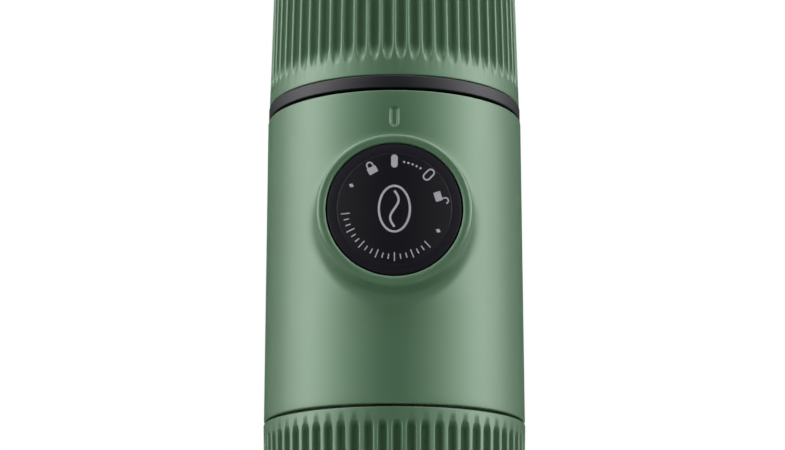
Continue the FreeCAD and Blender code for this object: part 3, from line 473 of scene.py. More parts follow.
def turned(name: str, outline: Sequence[Point2], material: Material,
           angles: Sequence[float] | None = None, closed: bool = False, smooth_deg: float = 40.0,
           place: Callable[[float, float, float], Sequence[float]] | None = None) -> Piece:
    """Turns an outline round an axis.

    Args:
        name: the object's name.
        outline: (radius, level) points.
        material: its finish.
        angles: the angles of its columns.
        closed: joins the last point to the first.
        smooth_deg: edges sharper than this stay sharp.
        place: maps (x, y, level) to the frame, if the axis isn't the main one.

    Returns:
        The object.
    """
    columns = list(angles or even_angles(ROUND_COLUMNS))
    points: list[Sequence[float]] = []
    for radius, level in outline:
        for angle in columns:
            spot = (radius * math.cos(angle), radius * math.sin(angle), level)
            points.append(place(*spot) if place else spot)
    count, rows = len(columns), len(outline)
    faces = []
    for row in range(rows if closed else rows - 1):
        low = row * count
        high = ((row + 1) % rows) * count
        for k in range(count):
            after = (k + 1) % count
            faces.append((low + k, low + after, high + after, high + k))
    return MeshForge.make(name, points, faces, material, smooth_deg)


def dress(node: str, material: Material) -> None:
    """Gives a construction node its finish. Args: node: its name. material: the finish."""
    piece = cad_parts[node]
    piece.data.materials.clear()
    piece.data.materials.append(material)


def seat(piece: Piece, body: Body, node: str) -> None:
    """Lets a piece stand for a node and move with its body. Args: piece, body, node: as named."""
    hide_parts(node)
    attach(piece, body.value)
    LOG.info("%s stands for %s on %s", piece.name, node, body.value)


class GeometryBench(NodeBench):
    """Builds one Geometry Nodes tree with named inputs."""

    def __init__(self, name: str) -> None:
        """Args: name: the tree's name."""
        super().__init__(bpy.data.node_groups.new(name, "GeometryNodeTree"))
        for way in ("INPUT", "OUTPUT"):
            self.tree.interface.new_socket("Geometry", in_out=way, socket_type="NodeSocketGeometry")
        self.sockets: dict[str, str] = {}
        self.entry = self.tree.nodes.new("NodeGroupInput")

    def size(self, name: str, kind: str = "NodeSocketFloat") -> Signal:
        """Adds a named input. Args: name: its name. kind: socket type. Returns its value."""
        made = self.tree.interface.new_socket(name, in_out="INPUT", socket_type=kind)
        self.sockets[name] = made.identifier
        return Signal(self, self.entry.outputs[name])

    def shape(self) -> Signal:
        """Returns the geometry that comes in."""
        return Signal(self, self.entry.outputs[0])

    def finish(self, geometry: Signal, material: Signal) -> None:
        """Ends the tree. Args: geometry: what to show. material: its finish."""
        real = self.node("GeometryNodeRealizeInstances", {}, {"Geometry": geometry})
        dressed = self.node("GeometryNodeSetMaterial", {}, {"Geometry": real, "Material": material})
        self.add("NodeGroupOutput", {}, {0: dressed})

    def apply(self, piece: Piece, sizes: dict[str, object]) -> None:
        """Runs the tree on a piece and keeps a plain mesh. Args: piece. sizes: values by name."""
        modifier = piece.modifiers.new("form", "NODES")
        modifier.node_group = self.tree
        for name, value in sizes.items():
            modifier[self.sockets[name]] = value
        piece.update_tag()
        evaluated = piece.evaluated_get(bpy.context.evaluated_depsgraph_get())
        mesh = bpy.data.meshes.new_from_object(evaluated)
        piece.modifiers.clear()
        piece.data = mesh


class FluteTree(GeometryBench):
    """Sinks evenly spaced flutes into an upright wall, fading out at both ends."""

    SIZES = ("Flute Count", "Flute Depth", "Flute Share", "First Valley", "Crest Share", "Crest Drop",
             "End Narrowing", "End Bluntness", "Low End", "Low Fade", "High End", "High Fade", "Inner Radius")
    TIP = 0.001
    FLOOR_POWER = 3.0
    FADE_POWER = 0.9
    WHOLE_TURNS = 100.5

    def __init__(self) -> None:
        """Builds the tree."""
        super().__init__("wall_flutes")
        (count, depth, share, turn, crest_share, crest_drop, narrowing, blunt, low, low_fade, high, high_fade,
         inner) = (self.size(name) for name in self.SIZES)
        finish = self.size("Finish", "NodeSocketMaterial")
        x, y, z = self.split(self.node("GeometryNodeInputPosition", {}, {}))
        radius = (x * x + y * y).power(0.5)
        step = self.maths("DIVIDE", 2 * math.pi, count)
        turns = (self.maths("ARCTAN2", y, x) - turn) / step + self.WHOLE_TURNS
        aside = self.maths("ABSOLUTE", self.maths("FRACT", turns) - 0.5) / (share * 0.5)
        rise = self._run_out((z - low) / low_fade, blunt)
        fall = self._run_out((high - z) / high_fade, blunt)
        along = self.maths("MINIMUM", rise, fall)
        squeezed = aside / self.maths("MAXIMUM", along, self.TIP).power(narrowing)
        inward = self.maths("MAXIMUM", 1.0 - squeezed, 0.0)
        over = self.maths("MINIMUM", inward / crest_share, 1.0)
        cap = 1.0 - (1.0 - over * over).power(0.5)
        past = self.maths("MAXIMUM", inward - crest_share, 0.0) / (1.0 - crest_share)
        floor = 1.0 - (1.0 - past).power(self.FLOOR_POWER)
        profile = cap * crest_drop + floor * (1.0 - crest_drop)
        sunk = profile * along.power(self.FADE_POWER) * depth * self.maths("GREATER_THAN", radius, inner)
        flat = self.node("ShaderNodeCombineXYZ", {}, {0: x, 1: y})
        offset = self.node("ShaderNodeVectorMath", {"operation": "SCALE"},
                           {0: flat, "Scale": sunk * -1.0 / radius})
        moved = self.node("GeometryNodeSetPosition", {}, {"Geometry": self.shape(), "Offset": offset})
        self.finish(moved, finish)

    def _run_out(self, share: Signal, blunt: Signal) -> Signal:
        """Rise from 0 to 1. Args: share: 0 at the tip, 1 at full depth. blunt: 0 to 1. Returns it."""
        held = share.clamped()
        smooth = held * held * (3.0 - held * 2.0)
        steep = 1.0 - (1.0 - held).power(2.0)
        return smooth + (steep - smooth) * blunt


@dataclass
class FlutedWall:
    """Sizes of the flutes on one shell, in millimetres and degrees.

    Fields: count, depth, share (of the pitch), first_deg (a valley), low and high (tips), their fades,
    crest_share and crest_drop (the rounded shoulder's share of the width and depth), narrowing and blunt
    (its ends).
    """

    FLOOR_SPOTS = (0.0, 0.3, 0.55, 0.75, 0.88, 0.96)
    CREST_SPOTS = (0.0, 0.08, 0.22, 0.42, 0.68)
    EDGE_SPOTS = (1.0, 1.04)
    END_SPOTS = (0.0, 0.08, 0.18, 0.3, 0.45, 0.62, 0.8, 1.0)
    FULL_SHARE = 0.95

    count: int
    depth: float
    share: float
    first_deg: float
    low: float
    low_fade: float
    high: float
    high_fade: float
    crest_share: float
    crest_drop: float
    narrowing: float
    blunt: float

    def angles(self) -> list[float]:
        """Returns column angles that fall close together where the flutes turn."""
        step = 2 * math.pi / self.count
        shoulder = 1.0 - self.crest_share
        offsets = [shoulder * o for o in self.FLOOR_SPOTS]
        offsets += [shoulder + self.crest_share * o for o in self.CREST_SPOTS]
        if self.share < self.FULL_SHARE:
            offsets += self.EDGE_SPOTS
        found = []
        for k in range(self.count):
            centre = math.radians(self.first_deg) + step * k
            half = step * self.share / 2
            found += [centre - half * o for o in reversed(offsets[1:])]
            found += [centre + half * o for o in offsets]
            found.append(centre + step / 2)
        return found

    def levels(self) -> list[float]:
        """Returns the extra wall levels that the flutes' ends need."""
        found = [self.low + self.low_fade * s for s in self.END_SPOTS]
        return found + [self.high - self.high_fade * s for s in reversed(self.END_SPOTS)]

    def cut(self, tree: FluteTree, piece: Piece, inner: float, finish: Material) -> None:
        """Sinks the flutes. Args: tree, piece, inner: walls inside this radius stay plain, finish."""
        tree.apply(piece, {
            "Flute Count": float(self.count), "Flute Depth": self.depth * MM, "Flute Share": self.share,
            "First Valley": math.radians(self.first_deg), "Crest Share": self.crest_share,
            "Crest Drop": self.crest_drop, "End Narrowing": self.narrowing, "End Bluntness": self.blunt,
            "Low End": self.low * MM, "Low Fade": self.low_fade * MM,
            "High End": self.high * MM, "High Fade": self.high_fade * MM,
            "Inner Radius": inner * MM, "Finish": finish})


def with_levels(outline: list[Point2], start: int, levels: Sequence[float]) -> list[Point2]:
    """Adds points at given levels on one straight stretch.

    Args:
        outline: the points so far.
        start: number of the stretch's first point.
        levels: levels to add, in the stretch's order.

    Returns:
        The new outline.
    """
    low, high = outline[start], outline[start + 1]
    added = []
    for level in levels:
        share = (level - low[1]) / (high[1] - low[1])
        if 0.001 < share < 0.999:
            added.append((low[0] + (high[0] - low[0]) * share, level))
    return outline[:start + 1] + added + outline[start + 1:]


@dataclass
class CupAssembly:
    """Ribbed drinking cup, stored mouth down."""

    bottom: float = 108.65
    top: float = 156.0
    rim_radius: float = 30.56
    end_radius: float = 29.5
    wall: float = 2.0
    closed_round: float = 4.0
    lip: float = 0.55
    rim_round: float = 0.35
    mouth_bevel: float = 0.4
    plain_inside: float = 0.7
    flutes: FlutedWall = field(default_factory=lambda: FlutedWall(
        count=60, depth=1.10, share=1.0, first_deg=-87.0, low=112.1, low_fade=5.4, high=152.0, high_fade=4.0,
        crest_share=0.30, crest_drop=0.42, narrowing=0.3, blunt=0.35))

    def build(self, tree: FluteTree, green: Material) -> None:
        """Builds the cup. Args: tree: flute maker. green: its finish."""
        inner_top = self.top - self.wall
        bore = self.rim_radius - self.wall
        outer = Outline([(self.rim_radius - self.lip, self.bottom),
                         (self.rim_radius, self.bottom, self.rim_round),
                         (self.end_radius, self.top, self.closed_round), (0.0, self.top)], 8).points()
        start = max(i for i, p in enumerate(outer) if p[1] < self.bottom + 2)
        outer = with_levels(outer, start, self.flutes.levels())
        inner = Outline([(0.0, inner_top),
                         (self.end_radius - self.wall, inner_top, self.closed_round - self.wall),
                         (bore, self.bottom + self.mouth_bevel),
                         (bore + self.mouth_bevel, self.bottom)], 4).points()
        cup = turned("drinking_cup", outer + inner, green, self.flutes.angles(), True, 50.0)
        self.flutes.cut(tree, cup, bore + self.plain_inside, green)
        seat(cup, Body.CUP, "cup")


@dataclass
class TankAssembly:
    """Ribbed water tank with its internal thread."""

    height: float = 30.7
    base_radius: float = 30.4
    rim_radius: float = 31.07
    wall: float = 2.2
    floor: float = 2.4
    bore: float = 27.8
    step: float = 28.35
    step_level: float = 29.2
    thread_low: float = 21.1
    base_round: float = 4.0
    floor_round: float = 2.5
    rim_round: float = 0.35
    thread_slope: float = 1.5
    plain_inside: float = 0.4
    ridge: float = 1.05
    lead: float = 8.0
    rise: float = 4.2
    ridge_level: float = 21.4
    flutes: FlutedWall = field(default_factory=lambda: FlutedWall(
        count=60, depth=1.05, share=0.84, first_deg=-88.9, low=4.6, low_fade=2.0, high=27.9, high_fade=2.2,
        crest_share=0.26, crest_drop=0.30, narrowing=0.2, blunt=0.9))

    def build(self, tree: FluteTree, green: Material) -> None:
        """Builds the tank. Args: tree: flute maker. green: its finish."""
        outer = Outline([(0.0, 0.0), (self.base_radius, 0.0, self.base_round),
                         (self.rim_radius, self.height, self.rim_round),
                         (self.step, self.height)], 8).points()
        start = max(i for i, p in enumerate(outer) if p[1] < self.base_round + 0.2)
        outer = with_levels(outer, start, self.flutes.levels())
        low = self.base_radius - self.wall
        inner = Outline([(self.step, self.step_level), (self.bore, self.step_level),
                         (self.bore, self.thread_low), (low, self.thread_low - self.thread_slope),
                         (low, self.floor, self.floor_round), (0.0, self.floor)], 4).points()
        tank = turned("ribbed_water_tank", outer + inner, green, self.flutes.angles(), True, 50.0)
        self.flutes.cut(tree, tank, self.step + self.plain_inside, green)
        ridges = [helix_ridge(self.bore, self.lead, self.rise, self.ridge_level, 180.0 * k, self.ridge, green)
                  for k in range(2)]
        tank = MeshForge.join("ribbed_water_tank", [tank] + ridges)
        seat(tank, Body.TANK, "water_tank")


def helix_ridge(radius: float, lead: float, rise: float, level: float, start_deg: float, wire: float,
                material: Material) -> Piece:
    """One round thread ridge along a helix, with rounded ends.

    Args:
        radius, lead, rise, level, start_deg, wire: the helix and the ridge's own radius, in mm and degrees.
        material: its finish.

    Returns:
        The object.
    """
    sides, steps = RIDGE_SIDES, RIDGE_STEPS
    points: list[Sequence[float]] = []
    for i in range(steps + 1):
        share = i / steps
        angle = math.radians(start_deg) + 2 * math.pi * rise / lead * share
        taper = math.sqrt(max(0.0, 1 - max(0.0, 1 - min(i, steps - i) / RIDGE_TAPER) ** 2))
        size = wire * max(taper, 0.05)
        for k in range(sides):
            turn = 2 * math.pi * k / sides
            reach = radius + size * math.cos(turn)
            points.append((reach * math.cos(angle), reach * math.sin(angle),
                           level + rise * share + size * math.sin(turn)))
    faces: list[Sequence[int]] = []
    for i in range(steps):
        for k in range(sides):
            after = (k + 1) % sides
            faces.append((i * sides + k, i * sides + after, (i + 1) * sides + after, (i + 1) * sides + k))
    faces.append(tuple(range(sides)))
    faces.append(tuple(range(steps * sides, (steps + 1) * sides)))
    return MeshForge.make("thread_ridge", points, faces, material, 60.0)


@dataclass
class BodyShell:
    """Smooth green shell with its knob collar and engraved slot mark, in millimetres and degrees.

    Fields that need a word: patch_half, half the height of the wall that the collar opens; row_counts, the
    rows below the collar, at it, at the slot mark and above; blend_in and blend_out, how far the fillet
    reaches in and out; flare_end, the depth where the flare is full; mouth_run, the depth of straight parts.
    """

    bottom: float = 31.3
    top: float = 104.85
    low_radius: float = 31.0
    top_radius: float = 30.86
    inner_radius: float = 28.8
    edge: float = 0.35
    knob_level: float = 74.2
    patch_half: float = 21.45
    collar_reach: float = 39.9
    collar_bore: float = 15.55
    collar_radius: float = 17.7
    collar_flare: float = 0.45
    collar_blend: float = 3.0
    collar_edge: float = 1.0
    blend_in: float = 0.8
    blend_out: float = 1.15
    blend_steps: int = 9
    flare_end: float = 15.0
    mouth_run: float = 3.0
    mouth_bevel: float = 0.2
    recess_front: float = -34.65
    recess_radius: float = 16.8
    recess_edge: float = 0.05
    rail_half_deg: float = 5.0
    slot_level: float = 98.5
    slot_width: float = 2.3
    slot_height: float = 5.0
    collar_half_deg: float = 51.0
    slot_half_deg: float = 3.0
    column_deg: float = 1.5
    slot_columns: int = 12
    row_counts: tuple[int, int, int, int] = (10, 32, 19, 3)
    slot_profile: tuple[Point2, ...] = ((0.1, 0.0), (0.0, 0.02), (-0.15, 0.13), (-0.38, 0.38), (-0.6, 0.6),
                                        (-0.7, 0.65), (-0.78, 0.66), (-0.95, 0.66))

    def build(self, green: Material) -> None:
        """Builds the shell. Args: green: its finish."""
        self.points: list[Sequence[float]] = []
        self.faces: list[Sequence[int]] = []
        self.columns = self._columns()
        self.rows = self._rows()
        below, beside, above = self.row_counts[:3]
        self.collar_rows = (below, below + beside)
        self.slot_rows = (below + beside, below + beside + above)
        outer = self._wall(True)
        inner = self._wall(False)
        self._rims(outer, inner)
        self._collar(outer, inner)
        self._slot(outer)
        shell = MeshForge.make("green_body_shell", self.points, self.faces, green, 55.0)
        seat(shell, Body.MAIN, "body_shell")

    def _outer_radius(self, level: float) -> float:
        """Outer radius at a level. Returns millimetres."""
        share = (level - self.bottom) / (self.top - self.bottom)
        return self.low_radius + (self.top_radius - self.low_radius) * share

    def _columns(self) -> list[float]:
        """Returns column bearings from the front, in degrees, finer at the slot mark."""
        skipped = round(self.slot_half_deg / self.column_deg)
        last = round(360 / self.column_deg) - skipped
        half = self.slot_columns
        fine = [self.slot_half_deg * k / half for k in range(-half, half + 1)]
        return fine + [self.column_deg * k for k in range(skipped + 1, last)]

    def _rows(self) -> list[float]:
        """Returns the levels of the wall's rows."""
        low = self.knob_level - self.patch_half
        high = self.knob_level + self.patch_half
        marks = (self.bottom + self.edge, low, high, 2 * self.slot_level - high, self.top - self.edge)
        rows = []
        for start, end, count in zip(marks, marks[1:], self.row_counts):
            rows += [start + (end - start) * k / count for k in range(count)]
        return rows + [marks[-1]]

    def _spot(self, radius: float, bearing: float, level: float) -> tuple[float, float, float]:
        """Point on a round wall. Args: radius, bearing: degrees right of the front, level. Returns it."""
        angle = math.radians(bearing)
        return (radius * math.sin(angle), -radius * math.cos(angle), level)

    def _in_hole(self, row: int, column: int, outer: bool) -> bool:
        """True where a wall cell is left open for the collar or the slot mark."""
        left = self._bearing(self.columns[column])
        right = self._bearing(self.columns[(column + 1) % len(self.columns)])
        middle = (left + right) / 2
        if abs(left - right) > 90:
            return False
        if self.collar_rows[0] <= row < self.collar_rows[1] and abs(middle) < self.collar_half_deg:
            return True
        return outer and self.slot_rows[0] <= row < self.slot_rows[1] and abs(middle) < self.slot_half_deg

    @staticmethod
    def _bearing(value: float) -> float:
        """A bearing between -180 and 180 degrees."""
        return value - 360 if value > 180 else value

    def _ring(self, radius: float, level: float) -> list[int]:
        """Adds one full ring of points. Returns their numbers."""
        first = len(self.points)
        self.points += [self._spot(radius, bearing, level) for bearing in self.columns]
        return list(range(first, len(self.points)))

    def _wall(self, outer: bool) -> list[list[int]]:
        """Adds one wall with its openings. Args: outer: which of the two. Returns point numbers by row."""
        grid = [self._ring(self._outer_radius(z) if outer else self.inner_radius, z) for z in self.rows]
        count = len(self.columns)
        for row, (low, high) in enumerate(zip(grid, grid[1:])):
            for k in range(count):
                if not self._in_hole(row, k, outer):
                    after = (k + 1) % count
                    self.faces.append((low[k], low[after], high[after], high[k]))
        return grid

    def _rims(self, outer: Rings, inner: Rings) -> None:
        """Adds the rounded rims that join both walls. Args: outer, inner: the walls' points."""
        for row, level, sign in ((0, self.bottom, -1), (-1, self.top, 1)):
            centre = self._outer_radius(level) - self.edge
            rings = [outer[row]]
            for angle in QUARTER_TURN:
                height = level - sign * self.edge * (1 - math.sin(angle))
                rings.append(self._ring(centre + self.edge * math.cos(angle), height))
            rings.append(self._ring(self.inner_radius, level))
            self._bridge(rings + [inner[row]])

    def _bridge(self, rings: Rings) -> None:
        """Joins neighbouring closed rings with faces. Args: rings: point numbers."""
        for low, high in zip(rings, rings[1:]):
            count = len(low)
            for k in range(count):
                after = (k + 1) % count
                self.faces.append((low[k], low[after], high[after], high[k]))

    def _border(self, grid: Rings, rows: tuple[int, int], half_deg: float) -> list[int]:
        """Point numbers round an opening, in order. Args: grid, rows, half_deg: the opening. Returns them."""
        inside = [k for k, b in enumerate(self.columns) if abs(self._bearing(b)) <= half_deg + 0.01]
        inside.sort(key=lambda k: self._bearing(self.columns[k]))
        low, high = rows
        border = [grid[low][k] for k in inside]
        border += [grid[r][inside[-1]] for r in range(low + 1, high)]
        border += [grid[high][k] for k in reversed(inside)]
        border += [grid[r][inside[0]] for r in range(high - 1, low, -1)]
        return border

    def _surface(self, x: float, level: float, radius: float) -> tuple[float, float, float]:
        """Point on a round wall in front at a sideways distance and level. Returns it."""
        return (x, -math.sqrt(radius * radius - x * x), level)

    def _loops(self, border: Sequence[int], loops: Sequence[Points]) -> list[int]:
        """Adds loops of points from a border inward. Args: border, loops. Returns the last one's numbers."""
        rings = [list(border)]
        for loop in loops:
            first = len(self.points)
            self.points += list(loop)
            rings.append(list(range(first, len(self.points))))
        self._bridge(rings)
        return rings[-1]

    def _round_knob(self, bearing: float, radius: float) -> Point2:
        """Point round the knob's axis. Returns its sideways distance and level."""
        return (radius * math.cos(bearing), self.knob_level + radius * math.sin(bearing))

    def _at(self, bearing: float, radius: float) -> tuple[float, float, float]:
        """Point of the body's surface seen at a radius and bearing from the knob's axis. Returns it."""
        x, level = self._round_knob(bearing, radius)
        return self._surface(x, level, self._outer_radius(level))

    def _collar(self, outer: Rings, inner: Rings) -> None:
        """Adds the collar between its openings in both walls. Args: outer, inner: the walls' points."""
        border = self._border(outer, self.collar_rows, self.collar_half_deg)
        bearings = [math.atan2(self.points[i][2] - self.knob_level, self.points[i][0]) for i in border]
        foot = self.collar_radius + self.collar_flare + self.collar_blend
        loops = []
        for share in (0.35, 0.7, 1.0):
            loop = []
            for i, bearing in zip(border, bearings):
                goal_x, goal_level = self._round_knob(bearing, foot)
                x = self.points[i][0] * (1 - share) + goal_x * share
                level = self.points[i][2] * (1 - share) + goal_level * share
                loop.append(self._surface(x, level, self._outer_radius(level)))
            loops.append(loop)
        loops += self._blend_loops(bearings, foot)
        loops += self._mouth_loops(bearings)
        root = [self._round_knob(b, self._lug_way(b)) for b in bearings]
        loops.append([self._surface(x, level, self.inner_radius) for x, level in root])
        last = self._loops(border, loops)
        self._bridge([last, self._border(inner, self.collar_rows, self.collar_half_deg)])

    def _blend_loops(self, bearings: Sequence[float], foot: float) -> list[list[Sequence[float]]]:
        """Loops of the fillet up the collar's wall. Args: bearings, foot: start radius. Returns them."""
        loops = []
        for k in range(1, self.blend_steps + 1):
            loop = []
            for bearing in bearings:
                start = self._at(bearing, foot)
                near = self._at(bearing, foot - self.collar_blend * self.blend_in)
                wall_y = near[1] - self.collar_blend * self.blend_out
                x, level = self._round_knob(bearing, self._collar_wall(wall_y))
                root = self._at(bearing, self._collar_wall(near[1]))
                loop.append(self._bezier(start, root, (x, wall_y, level), k / self.blend_steps))
            loops.append(loop)
        return loops

    def _collar_wall(self, depth: float) -> float:
        """Outer radius of the flared collar at a depth. Returns millimetres."""
        share = (depth + self.collar_reach) / (self.collar_reach - self.flare_end)
        return self.collar_radius + self.collar_flare * share

    @staticmethod
    def _bezier(start: Sequence[float], corner: Sequence[float], end: Sequence[float],
                share: float) -> tuple[float, ...]:
        """Point on a curve that rounds a corner. Args: start, corner, end, share: 0 to 1. Returns it."""
        rest = 1 - share
        return tuple(rest * rest * a + 2 * rest * share * b + share * share * c
                     for a, b, c in zip(start, corner, end))

    def _mouth_loops(self, bearings: Sequence[float]) -> list[list[Sequence[float]]]:
        """Loops over the collar's front edge and down its bore. Returns them."""
        front = -self.collar_reach
        edge = self.collar_edge
        profile = [(self._collar_wall(y), y) for y in (front + self.mouth_run, front + edge)]
        for angle in QUARTER_TURN:
            radius = self.collar_radius - edge * (1 - math.cos(angle))
            profile.append((radius, front + edge * (1 - math.sin(angle))))
        bore, bevel = self.collar_bore, self.mouth_bevel
        profile += [(bore + bevel, front), (bore, front + bevel)]
        profile.append((bore, self.recess_front - self.recess_edge))
        ways = [self._lug_way(b) for b in bearings]
        rounds = [([radius] * len(bearings), depth) for radius, depth in profile]
        rounds += [(ways, self.recess_front + run) for run in (0.0, self.mouth_run)]
        loops = []
        for radii, depth in rounds:
            spots = [self._round_knob(b, r) for b, r in zip(bearings, radii)]
            loops.append([(x, depth, level) for x, level in spots])
        return loops

    def _lug_way(self, bearing: float) -> float:
        """Radius of the way for the knob's lugs, narrow at its two rails. Returns millimetres."""
        aside = abs(math.sin(bearing))
        return self.collar_bore if aside < math.sin(math.radians(self.rail_half_deg)) else self.recess_radius

    def _slot(self, outer: Rings) -> None:
        """Adds the engraved slot mark in its opening. Args: outer: the wall's points."""
        border = self._border(outer, self.slot_rows, self.slot_half_deg)
        bearings = [math.atan2(self.points[i][2] - self.slot_level, self.points[i][0]) for i in border]
        radius = self._outer_radius(self.slot_level)
        straight = (self.slot_height - self.slot_width) / 2
        loops = []
        for grow, depth in self.slot_profile:
            spots = [self._stadium(b, self.slot_width / 2 + grow, straight) for b in bearings]
            loops.append([self._surface(x, self.slot_level + level, radius - depth) for x, level in spots])
        self.faces.append(tuple(self._loops(border, loops)))

    @staticmethod
    def _stadium(bearing: float, half: float, straight: float) -> Point2:
        """Point of a round-ended slot's outline at a bearing. Args: half: half width. Returns (x, level)."""
        cosine, sine = math.cos(bearing), math.sin(bearing)
        if abs(cosine) > 1e-6 and abs(half * sine / cosine) <= straight:
            return (math.copysign(half, cosine), abs(half / cosine) * sine)
        centre = math.copysign(straight, sine)
        root = sine * centre + math.sqrt(max(0.0, (sine * centre) ** 2 - centre * centre + half * half))
        return (root * cosine, root * sine)


@dataclass
class KnobAssembly:
    """Piston knob: bevelled front ring, skirt with lugs, polished face and pale marks."""

    level: float = 74.2
    front: float = -39.7
    radius: float = 15.25
    face_radius: float = 13.0
    bevel: float = 0.2
    inner_radius: float = 13.2
    skirt: float = 27.7
    web_front: float = 3.2
    web_back: float = 5.7
    pocket: float = 11.2
    face_thickness: float = 1.5
    hole: float = 2.55
    lug_height: float = 1.35
    lug_length: float = 2.5
    lug_span_deg: float = 119.0
    lug_first_deg: float = 8.0
    lug_bevel: float = 0.3
    lug_steps: int = 40
    face_gap: float = 0.05

    def place(self, x: float, y: float, depth: float) -> tuple[float, float, float]:
        """Maps knob coordinates, seen from the front, to the frame. Returns the point in millimetres."""
        return (x, self.front + depth, self.level + y)

    def build(self, shell: Material, face: Material, ink: Material) -> None:
        """Builds the knob. Args: shell, face, ink: finishes."""
        outline = Outline([
            (self.face_radius, 0.02), (self.face_radius + 0.1, 0.0, 0.04), (self.radius, self.bevel, 0.35),
            (self.radius, self.skirt, 0.2), (self.inner_radius, self.skirt),
            (self.inner_radius, self.web_back), (self.hole, self.web_back), (self.hole, self.web_front),
            (self.pocket, self.web_front), (self.pocket, self.face_thickness),
            (self.face_radius, self.face_thickness)], 5).points()
        knob = turned("piston_knob", outline, shell, even_angles(FINE_COLUMNS), True, 50.0, self.place)
        lugs = [self._lug(first, shell) for first in (self.lug_first_deg, self.lug_first_deg + 180.0)]
        seat(MeshForge.join("piston_knob", [knob] + lugs), Body.KNOB, "knob_shell")
        rim = self.face_radius - self.face_gap
        back = self.face_thickness
        disc = Outline([(0.0, 0.0), (rim, 0.0, 0.06), (rim, back), (0.0, back)], 4).points()
        plate = turned("knob_face_disc", disc, face, even_angles(FINE_COLUMNS), False, 50.0, self.place)
        seat(plate, Body.KNOB, "knob_face")
        seat(KnobMarks(self).build(ink), Body.KNOB, "knob_marks")

    def _lug(self, first_deg: float, shell: Material) -> Piece:
        """One guide lug at the skirt's inner end. Args: first_deg: where it starts. Returns the object."""
        outer = self.radius + self.lug_height
        low = self.skirt - self.lug_length
        bevel, steps = self.lug_bevel, self.lug_steps
        ring = [(self.radius - bevel, low), (outer - bevel, low), (outer, low + bevel),
                (outer, self.skirt - bevel), (outer - bevel, self.skirt), (self.radius - bevel, self.skirt)]
        points = []
        for k in range(steps + 1):
            angle = math.radians(first_deg + self.lug_span_deg * k / steps)
            points += [self.place(r * math.cos(angle), r * math.sin(angle), d) for r, d in ring]
        sides = len(ring)
        faces = [tuple(range(sides)), tuple(range(steps * sides, (steps + 1) * sides))]
        for k in range(0, steps * sides, sides):
            for i in range(sides):
                after = (i + 1) % sides
                faces.append((k + i, k + after, k + sides + after, k + sides + i))
        return MeshForge.make("knob_lug", points, faces, shell, 40.0)


